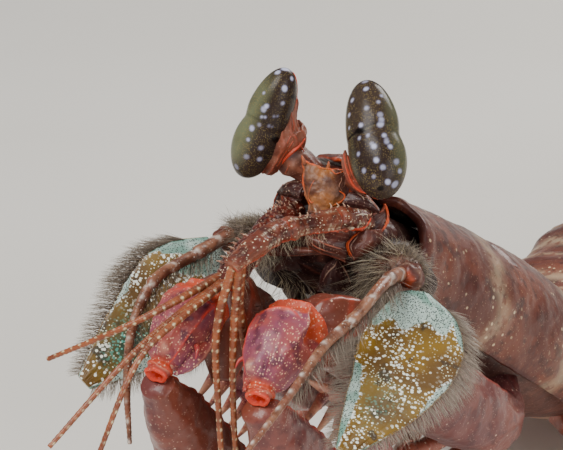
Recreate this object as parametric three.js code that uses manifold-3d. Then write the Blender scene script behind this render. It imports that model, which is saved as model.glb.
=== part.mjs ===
// A spearing mantis shrimp, life size, standing on its walking legs with its head raised.
// Millimetres and degrees, +Z up. The animal faces -Y and its left side is +X.
// The origin is on the floor, under the middle of the model.
import * as THREE from 'three';
import { mergeVertices } from 'three/addons/utils/BufferGeometryUtils.js';
import Module from 'manifold-3d';

const wasm = await Module();
wasm.setup();

// Driving sizes
const GAP = 0.3; // between two plates or limb segments that meet
const SMOOTHING = 0.04; // how far a surface may move when needless corners are dropped
const LIMB_SMOOTHING = 0.05; // the same for the slender limbs and the fringed blades
const TAIL_HEIGHT = 1.9; // middle of the telson's rear edge above the floor
// The body from the telson's rear edge forwards: length along the back, and how steeply it rises.
const BODY_PLAN = [
  { name: 'telson', length: 19, rise: 12 },
  { name: 'abdomen_6', length: 10, rise: 8 },
  { name: 'abdomen_5', length: 12, rise: 5 },
  { name: 'abdomen_4', length: 12, rise: 1 },
  { name: 'abdomen_3', length: 11.5, rise: 0 },
  { name: 'abdomen_2', length: 11.5, rise: 0 },
  { name: 'abdomen_1', length: 11, rise: 2 },
  { name: 'thorax_8', length: 8, rise: 9 },
  { name: 'thorax_7', length: 7.5, rise: 18 },
  { name: 'thorax_6', length: 7.5, rise: 27 },
  { name: 'carapace_rear', length: 11, rise: 34 },
  { name: 'carapace_middle', length: 11, rise: 36 },
  { name: 'carapace_front', length: 11, rise: 38 },
];
// The eye plate stands this far in front of and above the middle of the carapace's front edge.
const EYE_PLATE_FORWARD = 2.4;
const EYE_PLATE_ABOVE = 4.9;

const EYE_LENGTH = 9.4; // the long way of the cornea
const EYE_RADIUS = 1.8;
const CLAW_TEETH = 9; // on each striking finger, its tip included
const LEG_PAIRS = 3;
const SWIMMERET_PAIRS = 5;
const SMALL_MAXILLIPEDS = [3, 4, 5];
const FRINGE_ROOT = 0.9; // how deep a fringe lock is sunk into its blade
const SCALE_LOCKS = [7, 5]; // on the inner and outer edge of an antennal scale
const TAIL_FAN_LOCKS = [[4, 2], [2, 4]]; // on the inner and outer edge of the outer and inner blades
const EXOPOD_SPINES = 4; // movable spines on the outer edge of each tail fan

// Materials
const finish = (color, roughness) =>
  new THREE.MeshStandardMaterial({ color, roughness, metalness: 0 });
const MATERIALS = {
  cornea: finish(0x3a322c, 0.15),
  stalk: finish(0xa8402c, 0.4),
  face: finish(0x8c4a34, 0.4),
  feeler: finish(0x8a4636, 0.45),
  scale: finish(0x9c7a1c, 0.45),
  claw: finish(0xc25a55, 0.35),
  shell: finish(0x9c5548, 0.4),
  belly: finish(0xc99a86, 0.5),
  leg: finish(0xb8705e, 0.45),
};

// Closed solids and how they are joined
function solidOf(geometry) {
  geometry.deleteAttribute('normal');
  geometry.deleteAttribute('uv');
  const merged = mergeVertices(geometry, 1e-4);
  return new wasm.Manifold(
    new wasm.Mesh({
      numProp: 3,
      vertProperties: new Float32Array(merged.attributes.position.array),
      triVerts: new Uint32Array(merged.index.array),
    }),
  );
}

function geometryOf(solid) {
  const mesh = solid.getMesh();
  const geometry = new THREE.BufferGeometry();
  geometry.setAttribute('position', new THREE.BufferAttribute(mesh.vertProperties, 3));
  geometry.setIndex(new THREE.BufferAttribute(mesh.triVerts, 1));
  geometry.computeVertexNormals();
  return geometry;
}

const join = (...solids) => solids.reduce((whole, piece) => whole.add(piece));
const cut = (solid, ...others) => others.reduce((left, piece) => left.subtract(piece), solid);

function largest(solid) {
  const pieces = solid.decompose();
  return pieces.reduce((best, piece) => (piece.volume() > best.volume() ? piece : best));
}

// Vectors and smooth runs of named values
const vec = (x, y, z) => new THREE.Vector3(x, y, z);
const curveThrough = (points) => new THREE.CatmullRomCurve3(points);
const alongCurve = (points) => {
  const curve = curveThrough(points);
  return (t) => ({ point: curve.getPoint(t), tangent: curve.getTangent(t) });
};

// Half-widths and heights [side, up, down] at even steps along a piece, joined smoothly.
function profile(rows) {
  const curve = curveThrough(rows.map((row) => vec(...row)));
  return (t) => curve.getPoint(t).toArray().map((value) => Math.max(value, 0.04));
}

// A half-ellipse profile with round ends, for beads and bulbs.
const roundEnded = (side, up, down) => (t) => {
  const share = Math.max(Math.sqrt(Math.max(1 - (2 * t - 1) ** 2, 0)), 0.04);
  return [side * share, up * share, down * share];
};

// Spreads the rings towards both ends, where a round end needs them.
const crowdEnds = (t) => (1 - Math.cos(Math.PI * t)) / 2;

// Values of a sine or cosine, pushed out towards a square; a power of 2 leaves the ring round.
const squared = (value, power) =>
  (Math.abs(value) < 1e-9 ? 0 : Math.sign(value) * Math.abs(value) ** (2 / power));

// A closed body: a cylinder whose rings are set along a path and sized by a profile.
function sweep({
  path, size, right, sides = 10, rings = 6, power = 2, grow = 0, spacing = (t) => t,
}) {
  const shape = new THREE.CylinderGeometry(1, 1, 1, sides, rings);
  const position = shape.attributes.position;
  for (let i = 0; i < position.count; i++) {
    const t = 0.5 - position.getY(i);
    const onRing = Math.hypot(position.getX(i), position.getZ(i)) > 0.5 ? 1 : 0;
    const angle = Math.atan2(position.getZ(i), position.getX(i));
    const spread = spacing(t);
    const { point, tangent } = path(spread);
    const side = right.clone().addScaledVector(tangent, -right.dot(tangent)).normalize();
    const up = tangent.clone().cross(side).normalize();
    const [halfWidth, above, below] = size(spread);
    const height = Math.sin(angle) > 0 ? above : below;
    const x = onRing * squared(Math.cos(angle), power) * (halfWidth + grow);
    const z = onRing * squared(Math.sin(angle), power) * (height + grow);
    const end = t < 1e-6 ? -grow : t > 1 - 1e-6 ? grow : 0;
    point.addScaledVector(side, x).addScaledVector(up, z).addScaledVector(tangent, end);
    position.setXYZ(i, point.x, point.y, point.z);
  }
  return solidOf(shape);
}

// A tapered spine or tooth from a root to a tip, bowed by a sideways push at its middle.
function spine(root, tip, radius, bow = vec(0, 0, 0), sides = 5) {
  const middle = root.clone().lerp(tip, 0.55).add(bow);
  const across = Math.abs(tip.clone().sub(root).normalize().x) > 0.8 ? vec(0, 1, 0) : vec(1, 0, 0);
  return sweep({
    path: alongCurve([root, middle, tip]),
    size: profile([[radius, radius, radius], [radius * 0.6, radius * 0.6, radius * 0.6], [0.1, 0.1, 0.1]]),
    right: across,
    sides,
    rings: 2,
  });
}

// Repeatable small variation between like pieces: each call gives a number from -1 to 1.
function seededVariation(seed) {
  let state = seed;
  return () => {
    state = (state * 1664525 + 1013904223) % 4294967296;
    return (state / 4294967296) * 2 - 1;
  };
}

// Flat tapered locks of hair along both edges of a blade, leaning over towards its tip
function fringe({ path, size, right, counts, from, length, lean, seed }) {
  const vary = seededVariation(seed);
  const locks = [];
  for (const edge of [-1, 1]) {
    const count = counts[edge < 0 ? 0 : 1];
    for (let i = 0; i < count; i++) {
      const t = from + ((0.97 - from) * (i + 0.5)) / count;
      const { point, tangent } = path(t);
      const side = right.clone().addScaledVector(tangent, -right.dot(tangent)).normalize();
      const normal = tangent.clone().cross(side).normalize();
      const angle = THREE.MathUtils.degToRad(lean[edge < 0 ? 0 : 1] + 26 * t + 5 * vary());
      const out = side.clone().multiplyScalar(edge * Math.cos(angle))
        .addScaledVector(tangent, Math.sin(angle));
      const reach = length * (0.75 + 0.4 * t + 0.12 * vary());
      const root = point.addScaledVector(side, edge * (size(t)[0] - FRINGE_ROOT))
        .addScaledVector(normal, 0.09 * (i % 2) - 0.05);
      const middle = root.clone().addScaledVector(out, (FRINGE_ROOT + reach) * 0.55)
        .addScaledVector(normal, 0.12);
      const tip = root.clone().addScaledVector(out, FRINGE_ROOT + reach)
        .addScaledVector(tangent, 0.5 * reach).addScaledVector(normal, 0.1 * vary());
      locks.push(sweep({
        path: alongCurve([root, middle, tip]),
        size: profile([[0.9, 0.32, 0.32], [1.0, 0.3, 0.3], [0.15, 0.12, 0.12]]),
        right: tangent, sides: 3, rings: 2,
      }));
    }
  }
  return locks;
}

// The middle line of the body, from the tail forwards
const backbone = [vec(0, 0, TAIL_HEIGHT)];
for (const { length, rise } of BODY_PLAN) {
  const angle = THREE.MathUtils.degToRad(rise);
  const step = vec(0, -length * Math.cos(angle), length * Math.sin(angle));
  backbone.push(backbone[backbone.length - 1].clone().add(step));
}
const bodyCurve = curveThrough(backbone);
const planIndex = (name) => BODY_PLAN.findIndex((row) => row.name === name);

// A point of the middle line: share 0 is the rear of the named length, and 1 its front.
function bodyAt(name, share) {
  const t = (planIndex(name) + share) / BODY_PLAN.length;
  const tangent = bodyCurve.getTangent(t);
  return { point: bodyCurve.getPoint(t), tangent, up: tangent.clone().cross(vec(1, 0, 0)) };
}

// A point given by its place across, along and above the middle line.
function onBody(name, share, across, above) {
  const { point, up } = bodyAt(name, share);
  return point.addScaledVector(up, above).add(vec(across, 0, 0));
}

// The body between two places on the middle line, less half the gap at each end.
function bodyStretch(from, fromShare, to, toShare, { drop = 0, ...options }) {
  const start = planIndex(from) + fromShare;
  const end = planIndex(to) + toShare;
  const path = (t) => {
    const along = (start + (end - start) * t) / BODY_PLAN.length;
    const tangent = bodyCurve.getTangent(along);
    const inset = t < 1e-6 ? GAP / 2 : t > 1 - 1e-6 ? -GAP / 2 : 0;
    const point = bodyCurve.getPoint(along).addScaledVector(tangent, inset);
    point.addScaledVector(tangent.clone().cross(vec(1, 0, 0)), -drop);
    return { point, tangent };
  };
  return sweep({ path, right: vec(1, 0, 0), ...options });
}

const carapaceFront = bodyAt('carapace_front', 1).point;
const eyePlate = carapaceFront.clone().add(vec(0, -EYE_PLATE_FORWARD, EYE_PLATE_ABOVE));
// Places on the head are given from the middle of the eye plate.
const head = (x, y, z) => eyePlate.clone().add(vec(x, y, z));

const model = new THREE.Group();
function addNode(name, material, solid, smoothing = SMOOTHING) {
  const mesh = new THREE.Mesh(geometryOf(largest(solid).simplify(smoothing)), material);
  mesh.name = name;
  model.add(mesh);
}

const SIDES = [
  { tag: 'left', sign: 1 },
  { tag: 'right', sign: -1 },
];

// The floor, as a block to cut flats on whatever stands on it
const floorBlock = solidOf(new THREE.BoxGeometry(300, 400, 20).translate(0, -60, -10));

// Carapace, and the fleshy body that it covers
const CORE_ROWS = [
  [10.2, 5.4, 5.6], [8.8, 5.8, 6.2], [6.9, 5.0, 5.6], [5.2, 3.2, 4.0],
];
const CARAPACE_ROWS = [
  [12.6, 7.0, 6.0], [11.6, 7.4, 6.4], [9.4, 6.6, 6.0], [7.0, 4.6, 4.6],
];
const CARAPACE_EDGE = 3.4; // how far its side edge hangs below the middle line

const thoraxCore = (grow = 0) => bodyStretch('carapace_rear', 0, 'carapace_front', 1, {
  size: profile(CORE_ROWS), sides: 18, rings: 5, power: 2.3, grow,
});

const carapaceCover = (grow = 0) => bodyStretch('carapace_rear', 0, 'carapace_front', 1, {
  size: profile(CARAPACE_ROWS), sides: 24, rings: 7, power: 2.3, grow,
});

function carapaceSolid() {
  const below = bodyStretch('carapace_rear', 0, 'carapace_front', 1, {
    size: () => [0, 0, 0], grow: 20, sides: 8, rings: 4, power: 60, drop: CARAPACE_EDGE + 20,
  });
  return cut(carapaceCover(), thoraxCore(GAP), below);
}

// The rostral plate, hinged to the carapace over the roots of the eye stalks
const rostralPlate = (grow = 0) => sweep({
  path: alongCurve([head(0, 5.7, -0.8), head(0, 4.2, 0.5), head(0, 2.7, 1.5), head(0, 1.1, 2.1)]),
  size: profile([[2.4, 0.5, 0.4], [3.2, 0.7, 0.45], [2.3, 0.55, 0.4], [0.2, 0.2, 0.2]]),
  right: vec(1, 0, 0), sides: 12, rings: 6, grow,
});

// Eyes: a long two-lobed cornea on a flared stalk. Each eye is turned its own way, and shows more or less of
// its broad side.
const EYE_PLACES = {
  left: { centre: head(4.5, -1.0, 5.1), lean: vec(-4.3, 4.5, 7.9), breadth: 1.18 },
  right: { centre: head(-4.75, -1.4, 5.0), lean: vec(3.3, 1.4, 9.0), breadth: 1 },
};

function corneaSolid(tag, grow = 0) {
  const { centre, lean, breadth } = EYE_PLACES[tag];
  const axis = lean.clone().normalize();
  const path = (t) => ({
    point: centre.clone().addScaledVector(axis, (t - 0.5) * EYE_LENGTH), tangent: axis,
  });
  const size = (t) => {
    const waist = 1 - 0.09 * Math.exp(-(((t - 0.48) / 0.09) ** 2));
    const lower = 1.06 - 0.12 * t;
    const share = Math.max((1 - Math.abs(2 * t - 1) ** 2.6) ** 0.5, 0.06) * waist * lower;
    return [EYE_RADIUS * breadth * share, EYE_RADIUS * 1.08 * share, EYE_RADIUS * share];
  };
  return sweep({
    path, size, right: vec(1, 0, 0), sides: 12, rings: 12, grow, spacing: crowdEnds,
  });
}

// Each cup hugs the inner side of its eye. Its rows run along the eye, from below: height, distance from the
// eye's axis, half width and half depth. One eye is turned to show its cup, the other hides it.
const CUPS = {
  right: {
    turn: 20,
    rows: [[-3.6, 1.45, 0.8, 0.9], [-2.0, 1.45, 1.15, 1.4], [-0.9, 1.55, 1.5, 1.6], [-0.1, 1.65, 1.9, 1.6],
      [0.9, 1.2, 1.2, 1.35], [2.0, 1.0, 0.95, 1.1]],
  },
  left: {
    turn: 75,
    rows: [[-3.6, 1.15, 0.85, 0.7], [-2.0, 1.5, 1.3, 1.25], [-0.9, 1.6, 1.6, 1.4], [0.0, 1.7, 1.7, 1.4],
      [0.9, 1.2, 1.25, 1.3], [2.0, 1.0, 0.95, 1.1]],
  },
};
const FACING = vec(0.47, -0.814, 0.342);

function stalkSolid(tag, sign) {
  const { centre, lean } = EYE_PLACES[tag];
  const { turn, rows } = CUPS[tag];
  const axis = lean.clone().normalize();
  const front = FACING.clone().addScaledVector(axis, -FACING.dot(axis)).normalize();
  const across = axis.clone().cross(front);
  const angle = (turn * Math.PI) / 180;
  const inner = across.multiplyScalar(-sign * Math.cos(angle)).addScaledVector(front, -Math.sin(angle));
  const beside = (up, out) => centre.clone().addScaledVector(axis, up).addScaledVector(inner, out);
  const cup = sweep({
    path: alongCurve(rows.map(([up, out]) => beside(up, out))),
    size: profile(rows.map(([, , wide, deep]) => [wide, deep, deep])),
    right: inner, sides: 10, rings: 6,
  });
  const neck = sweep({
    path: alongCurve([
      head(sign * 1.3, 0.7, 0.0), head(sign * 2.1, 0.5, 1.1), beside(-1.8, 2.3), beside(-1, 1.8),
    ]),
    size: profile([[1, 1, 1], [1.15, 1.1, 1.1], [1.3, 1.25, 1.25], [1.1, 1.1, 1.1]]),
    right: axis, sides: 8, rings: 3,
  });
  return cut(join(cup, neck), corneaSolid(tag, GAP), rostralPlate(GAP), ocularSomite(GAP));
}

// The small plate between the eye stalks, and the front of the head below it
const ocularSomite = (grow = 0) => sweep({
  path: alongCurve([head(0, 2.2, -0.4), head(0, 0.6, 0), head(0, -1.5, -0.2)]),
  size: profile([[1.9, 1.5, 1.5], [2.0, 1.7, 1.6], [1.7, 1.4, 1.5]]),
  right: vec(1, 0, 0), sides: 16, rings: 5, power: 3, grow,
});

const headBlock = (grow = 0) => sweep({
  path: alongCurve([head(0, 2.3, -4.7), head(0, 0.9, -3.9), head(0, -0.8, -3.6)]),
  size: profile([[4.6, 2.9, 3.4], [4.2, 2.0, 2.9], [3.0, 1.5, 2.0]]),
  right: vec(1, 0, 0), sides: 14, rings: 4, power: 2.6, grow,
});

// On each side of the feelers' segment a hooked process points outwards and up.
function headFrontSolid(grow = 0) {
  const hooks = SIDES.map(({ sign }) => sweep({
    path: alongCurve([
      head(sign * 2.8, 1.1, -3.4), head(sign * 4.2, 0.9, -3.1),
      head(sign * 4.85, 1.0, -2.1), head(sign * 4.35, 1.2, -0.6),
    ]),
    size: profile([[1.0, 1.2, 1.2], [0.8, 1.0, 1.0], [0.5, 0.65, 0.65], [0.15, 0.15, 0.15]]),
    right: vec(0, 1, 0), sides: 6, rings: 4, grow,
  }));
  const whole = join(headBlock(grow), ...hooks);
  return grow > 0 ? whole : cut(whole, ocularSomite(GAP), thoraxCore(GAP));
}

// Antennules: a three-segment stem with three flagella, both turned to the animal's right
const ANTENNULES = {
  left: {
    stem: [head(3.5, -0.3, -1.75), head(2.9, -3.1, -0.85), head(2.15, -7.0, -0.2), head(1.5, -11.1, 0.2),
      head(0.9, -15.8, -0.7)],
    girth: 1.0,
    strands: [
      [head(0.8, -15.4, -0.75), head(0.1, -16.6, -5.6), head(0.2, -16.6, -12.0), head(0.9, -16.8, -20.0)],
      [head(1.2, -15.2, -0.6), head(1.0, -15.7, -5.6), head(1.1, -16.0, -12.0), head(1.3, -15.4, -20.5)],
      [head(1.2, -14.8, -0.6), head(0.7, -14.3, -4.6), head(0.7, -13.4, -9.4), head(0.6, -12.4, -15.6)],
    ],
  },
  right: {
    stem: [head(-3.0, -0.2, -2.2), head(-2.6, -4.5, -2.4), head(-2.0, -9.2, -2.8), head(-1.7, -12.6, -3.8)],
    girth: 1.3,
    strands: [
      [head(-1.8, -12.0, -3.5), head(-3.0, -17.0, -5.0), head(-4.4, -20.7, -6.9), head(-7.7, -26.8, -12.6)],
      [head(-2.1, -12.0, -3.3), head(-3.7, -17.0, -4.3), head(-5.9, -19.4, -5.6), head(-12.0, -20.6, -9.0)],
      [head(-1.5, -12.2, -3.5), head(-2.2, -17.4, -4.7), head(-3.2, -21.6, -6.6), head(-4.4, -26.4, -14.0)],
    ],
  },
};

const FLAGELLUM_RADIUS = 0.3;

const stemSolid = (tag, grow = 0) => sweep({
  path: alongCurve(ANTENNULES[tag].stem),
  size: profile([
    [0.9, 0.9, 0.9], [0.9, 0.85, 0.85], [0.9, 0.88, 0.88], [0.82, 0.8, 0.8],
    [0.82, 0.8, 0.8], [0.85, 0.78, 0.78], [0.64, 0.5, 0.5],
  ].map((row) => row.map((half) => half * ANTENNULES[tag].girth))),
  right: vec(1, 0, 0), sides: 7, rings: 8, grow,
});

const strandSolid = (points) => sweep({
  path: alongCurve(points),
  size: (t) => Array(3).fill(FLAGELLUM_RADIUS * (1.1 - 0.5 * t)),
  right: vec(1, 0.2, 0), sides: 5, rings: 7,
});

// Antennae: a stout base, a two-segment stem, one whip and a wide oval scale
const ANTENNAE = {
  left: {
    whip: [head(7.4, -1.6, -4.8), head(8.2, -5.8, -3.9), head(8.5, -11.6, -4.9), head(7.9, -14.6, -5.9),
      head(7.6, -19.0, -8.1), head(6.6, -25.0, -11.6)],
  },
  right: {
    whip: [head(-7.4, -2.2, -4.2), head(-8.2, -6.2, -4.8), head(-9.0, -10.8, -5.6), head(-9.5, -12.9, -8.4),
      head(-9.6, -13.8, -12.6), head(-8.8, -14.8, -17.4)],
  },
};

const antennaBase = (sign, grow = 0) => sweep({
  path: alongCurve([head(sign * 2.6, 1.6, -5.6), head(sign * 5.2, 0.2, -5.6), head(sign * 7.6, -1.6, -5.3)]),
  size: profile([[1.7, 1.7, 1.7], [2.0, 1.9, 1.9], [1.6, 1.5, 1.5]]),
  right: vec(0, 1, 0), sides: 9, rings: 4, grow,
});

function antennaSolid(tag, sign) {
  const whip = sweep({
    path: alongCurve(ANTENNAE[tag].whip),
    size: profile([[0.75, 0.75, 0.75], [0.58, 0.58, 0.58], [0.48, 0.48, 0.48], [0.4, 0.4, 0.4],
      [0.33, 0.33, 0.33], [0.18, 0.18, 0.18]]),
    right: vec(1, 0, 0.3), sides: 5, rings: 9,
  });
  return join(
    cut(antennaBase(sign), headFrontSolid(GAP), thoraxCore(GAP), carapaceCover(GAP)),
    whip,
  );
}

// Antennal scales, turned so that their broad faces show from the front
const SCALES = {
  left: {
    line: [head(8.8, -2.6, -6.0), head(10.4, -5.6, -8.0), head(11.2, -9.8, -9.7), head(11.5, -18.2, -12.0)],
    across: vec(0.94, 0, -0.34),
  },
  right: {
    line: [
      head(-8.2, -2.6, -5.4), head(-9.7, -5.0, -7.8), head(-11.1, -8.0, -10.3), head(-13.6, -13.7, -13.8),
    ],
    across: vec(0.73, 0.1, -0.67),
  },
};
const SCALE_BLADE = profile([
  [1.3, 0.55, 0.55], [3.2, 0.55, 0.55], [3.9, 0.45, 0.45], [3.7, 0.4, 0.4], [2.6, 0.35, 0.35],
  [0.9, 0.27, 0.27],
]);

function scaleSolid(tag, sign) {
  const { line, across } = SCALES[tag];
  const path = alongCurve(line);
  const blade = sweep({ path, size: SCALE_BLADE, right: across, sides: 8, rings: 8 });
  const hair = fringe({
    path, size: SCALE_BLADE, right: across, from: 0.16, length: 1.6,
    counts: sign > 0 ? SCALE_LOCKS : [...SCALE_LOCKS].reverse(),
    lean: sign > 0 ? [60, 46] : [46, 60], seed: 11,
  });
  return cut(
    join(blade, ...hair),
    antennaBase(sign, GAP), merusSolid(sign, GAP), carpusSolid(sign, GAP), handSolid(sign, GAP),
  );
}

// Raptorial claws: places for the left one, mirrored for the right
const CLAW = {
  hip: [6.2, 17.6, -20.6],
  knee: [8.4, 13.6, -22.4],
  thigh: [7.6, 6.4, -18.4],
  shin: [5.6, -3.4, -11.0],
  elbow: [3.9, -10.5, -5.9],
  wrist: [4.3, -18.0, -9.6],
  heel: [5.6, 2.4, -31.6],
};
const clawPoint = (name, sign) => head(sign * CLAW[name][0], CLAW[name][1], CLAW[name][2]);

const merusSolid = (sign, grow = 0) => sweep({
  path: alongCurve(['hip', 'knee', 'thigh', 'shin', 'elbow'].map((name) => clawPoint(name, sign))),
  size: profile([[1.8, 1.8, 1.8], [2.2, 2.4, 2.4], [2.6, 3.2, 3.2], [2.6, 3.1, 3.0], [2.3, 2.3, 2.3]]),
  right: vec(1, 0, 0), sides: 12, rings: 9, power: 2.2, grow,
});

const carpusSolid = (sign, grow = 0) => {
  const elbow = clawPoint('elbow', sign);
  const wrist = clawPoint('wrist', sign);
  const out = wrist.clone().sub(elbow).normalize();
  return sweep({
    path: alongCurve([
      elbow.clone().addScaledVector(out, 1.4), elbow.clone().lerp(wrist, 0.5).add(vec(0, -0.3, 0.8)),
      wrist.clone().addScaledVector(out, 0.9),
    ]),
    size: profile([[2.2, 2.0, 2.2], [2.6, 2.2, 2.6], [2.7, 2.3, 2.7], [2.4, 2.2, 2.4], [1.3, 1.2, 1.3]]),
    right: vec(1, 0, 0), sides: 12, rings: 7, power: 2.2, grow,
  });
};

// The hand runs back from the wrist to the heel, with a groove along it for the finger's teeth.
const HAND_UP = vec(0, 0.74, 0.67);

const handSolid = (sign, grow = 0) => {
  const wrist = clawPoint('wrist', sign);
  const heel = clawPoint('heel', sign);
  const whole = sweep({
    path: alongCurve([
      wrist.clone().add(vec(0, 0.2, -0.8)), wrist.clone().lerp(heel, 0.3).add(vec(0, -0.8, -0.8)),
      wrist.clone().lerp(heel, 0.7).add(vec(0, -0.5, -0.5)), heel,
    ]),
    size: profile([[1.2, 1.2, 1.2], [2.0, 2.3, 2.4], [2.35, 2.9, 3.0], [2.35, 2.9, 3.0], [2.25, 2.7, 2.7],
      [1.9, 2.2, 2.2], [0.9, 1.0, 1.0]]),
    right: vec(-1, 0, 0), sides: 12, rings: 8, power: 2.2, grow,
  });
  if (grow > 0) return whole;
  const groove = sweep({
    path: alongCurve([
      wrist.clone().lerp(heel, 0.1).addScaledVector(HAND_UP, 3.4),
      wrist.clone().lerp(heel, 0.9).addScaledVector(HAND_UP, 3.2),
    ]),
    size: () => [0.85, 2.4, 2.4], right: vec(-1, 0, 0), sides: 8, rings: 4, power: 4,
  });
  return cut(whole, groove);
};

// The striking finger folds forwards over the hand; its teeth grow longer towards the tip.
function fingerSolid(sign) {
  const wrist = clawPoint('wrist', sign);
  const heel = clawPoint('heel', sign);
  const at = (share, above) => heel.clone().lerp(wrist, share).addScaledVector(HAND_UP, above);
  const shaft = sweep({
    path: alongCurve([at(0.03, 2.7), at(0.1, 4.0), at(0.35, 5.4), at(0.6, 5.7), at(0.84, 4.2)]),
    size: profile([[1.3, 1.2, 1.2], [1.1, 1.2, 1.2], [0.8, 1.0, 1.0], [0.6, 0.8, 0.8], [0.15, 0.15, 0.15]]),
    right: vec(1, 0, 0), sides: 6, rings: 8,
  });
  const teeth = [];
  for (let i = 0; i < CLAW_TEETH - 1; i++) {
    const share = 0.2 + (0.52 * i) / (CLAW_TEETH - 2);
    const height = 5.0 - 8 * (share - 0.5) ** 2;
    const length = 1.6 + 1.6 * (i / (CLAW_TEETH - 2));
    const root = at(share, height);
    const tip = at(share + 0.05, height - 0.6 - length);
    teeth.push(spine(root, tip, 0.45, vec(0, 0.25, 0), 4));
  }
  return cut(join(shaft, ...teeth), handSolid(sign, GAP).intersect(heelZone(sign)));
}

// Only the joint end of the hand trims the finger: the teeth stand free in the groove.
function heelZone(sign) {
  const heel = clawPoint('heel', sign);
  return sweep({
    path: roundPath(heel.clone().addScaledVector(HAND_UP, 1.5), vec(0, 0, 1), 8),
    size: roundEnded(5, 5, 5), right: vec(1, 0, 0), sides: 8, rings: 6, spacing: crowdEnds,
  });
}

function roundPath(centre, axis, length) {
  return (t) => ({ point: centre.clone().addScaledVector(axis, (t - 0.5) * length), tangent: axis });
}

// Mouth, with the slender first maxillipeds
function mouthSolid() {
  const lip = sweep({
    path: alongCurve([head(0, 3.6, -10.2), head(0, 6.4, -14.2), head(0, 9.6, -18.4)]),
    size: profile([[1.4, 1.6, 1.6], [2.4, 2.4, 2.4], [1.8, 2.0, 2.0]]),
    right: vec(-1, 0, 0), sides: 9, rings: 4,
  });
  const palps = SIDES.map(({ sign }) => sweep({
    path: alongCurve([
      head(sign * 1.3, 7.2, -15.5), head(sign * 1.6, 3.2, -17.0), head(sign * 1.5, -0.6, -13.6),
      head(sign * 1.4, -3.4, -10.4),
    ]),
    size: profile([[0.8, 0.8, 0.8], [0.7, 0.7, 0.7], [0.6, 0.6, 0.6], [0.35, 0.35, 0.35]]),
    right: vec(1, 0, 0), sides: 5, rings: 5,
  }));
  return cut(join(lip, ...palps), thoraxCore(GAP), carapaceCover(GAP), headBlock(GAP));
}

// The three small pairs of maxillipeds, each ending in a round hand with a folded finger
function maxillipedSolid(order, sign) {
  const from = vec(3.4, 19.0 + 3.1 * order, -22.0 - 2.0 * order);
  const to = vec(1.7, 9.4 + 2.4 * order, -23.0 - 3.3 * order);
  const place = (share, lift) => {
    const spot = from.clone().lerp(to, share);
    return head(sign * spot.x, spot.y, spot.z + lift);
  };
  const limb = sweep({
    path: alongCurve([place(-0.1, 0.6), place(0.3, -1.5), place(0.7, -0.9), place(1, 0)]),
    size: profile([[1.0, 1.0, 1.0], [0.75, 0.75, 0.75], [0.8, 0.8, 0.8], [0.7, 0.7, 0.7]]),
    right: vec(1, 0, 0), sides: 6, rings: 5,
  });
  const hand = sweep({
    path: roundPath(place(1.12, 0), to.clone().sub(from).normalize(), 3.8),
    size: roundEnded(0.8, 1.2, 1.2), right: vec(1, 0, 0), sides: 7, rings: 5, spacing: crowdEnds,
  });
  return cut(join(limb, hand), thoraxCore(GAP), carapaceCover(GAP));
}

// Thorax segments behind the carapace, each a little wider at its rear edge
const SEGMENTS = [
  { name: 'thorax_6', front: [10.2, 5.0, 4.4], rear: [11.4, 5.4, 4.3] },
  { name: 'thorax_7', front: [10.7, 5.0, 4.2], rear: [11.9, 5.4, 4.1] },
  { name: 'thorax_8', front: [11.2, 5.0, 4.0], rear: [12.5, 5.4, 4.0] },
  { name: 'abdomen_1', front: [11.8, 5.0, 3.9], rear: [13.3, 5.5, 3.9] },
  { name: 'abdomen_2', front: [12.6, 5.1, 3.9], rear: [14.1, 5.6, 3.9] },
  { name: 'abdomen_3', front: [13.3, 5.2, 3.9], rear: [14.6, 5.6, 3.9] },
  { name: 'abdomen_4', front: [13.7, 5.2, 3.8], rear: [14.8, 5.5, 3.8] },
  { name: 'abdomen_5', front: [13.7, 5.0, 3.7], rear: [14.5, 5.2, 3.6] },
  { name: 'abdomen_6', front: [13.0, 4.6, 3.3], rear: [12.0, 4.2, 2.6] },
];

function segmentSolid({ name, front, rear }, grow = 0) {
  const between = (share) => front.map((value, i) => value + (rear[i] - value) * share);
  const lip = rear.map((value, i) => value * (i === 0 ? 1.02 : i === 1 ? 1.04 : 1));
  return bodyStretch(name, 0, name, 1, {
    size: profile([rear, lip, between(0.75), between(0.4), front]),
    sides: 18, rings: 5, power: 2.6, grow,
  });
}

const segmentNamed = (name) => SEGMENTS.find((row) => row.name === name);

// Walking legs: slender, with a short outer branch, their feet on the floor
const LEG_STEPS = [-9, 1, 9]; // how far each pair's foot stands behind its root
const LEG_REACH = 9.5;

function legSolid(pair, sign) {
  const name = `thorax_${6 + pair}`;
  const { rear, front } = segmentNamed(name);
  const halfWidth = (rear[0] + front[0]) / 2;
  const root = onBody(name, 0.5, sign * halfWidth * 0.62, -front[2] * 0.7);
  const step = LEG_STEPS[pair];
  const knee = vec(sign * (halfWidth + LEG_REACH * 0.5), root.y + step * 0.45, root.z * 0.62 + 2.2);
  const ankle = vec(sign * (halfWidth + LEG_REACH * 0.85), root.y + step * 0.85, 3.4);
  const foot = vec(sign * (halfWidth + LEG_REACH), root.y + step, -0.35);
  const hip = root.clone().lerp(knee, 0.45).add(vec(0, 0, -0.8));
  const limb = sweep({
    path: alongCurve([root, hip, knee, ankle, foot]),
    size: profile([
      [1.5, 1.5, 1.5], [1.15, 1.15, 1.15], [1.0, 1.0, 1.0], [0.9, 0.75, 0.75], [0.5, 0.45, 0.45],
    ]),
    right: vec(0, 1, 0), sides: 6, rings: 7,
  });
  const branch = sweep({
    path: alongCurve([
      knee.clone().add(vec(0, 0.2, 0)), knee.clone().add(vec(sign * 2.4, 2.0, -1.4)),
      knee.clone().add(vec(sign * 3.8, 3.4, -5.0)),
    ]),
    size: profile([[0.6, 0.6, 0.6], [0.55, 0.55, 0.55], [0.3, 0.3, 0.3]]),
    right: vec(0, 1, 0), sides: 5, rings: 3,
  });
  return cut(join(limb, branch), segmentSolid(segmentNamed(name), GAP), floorBlock);
}

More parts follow.
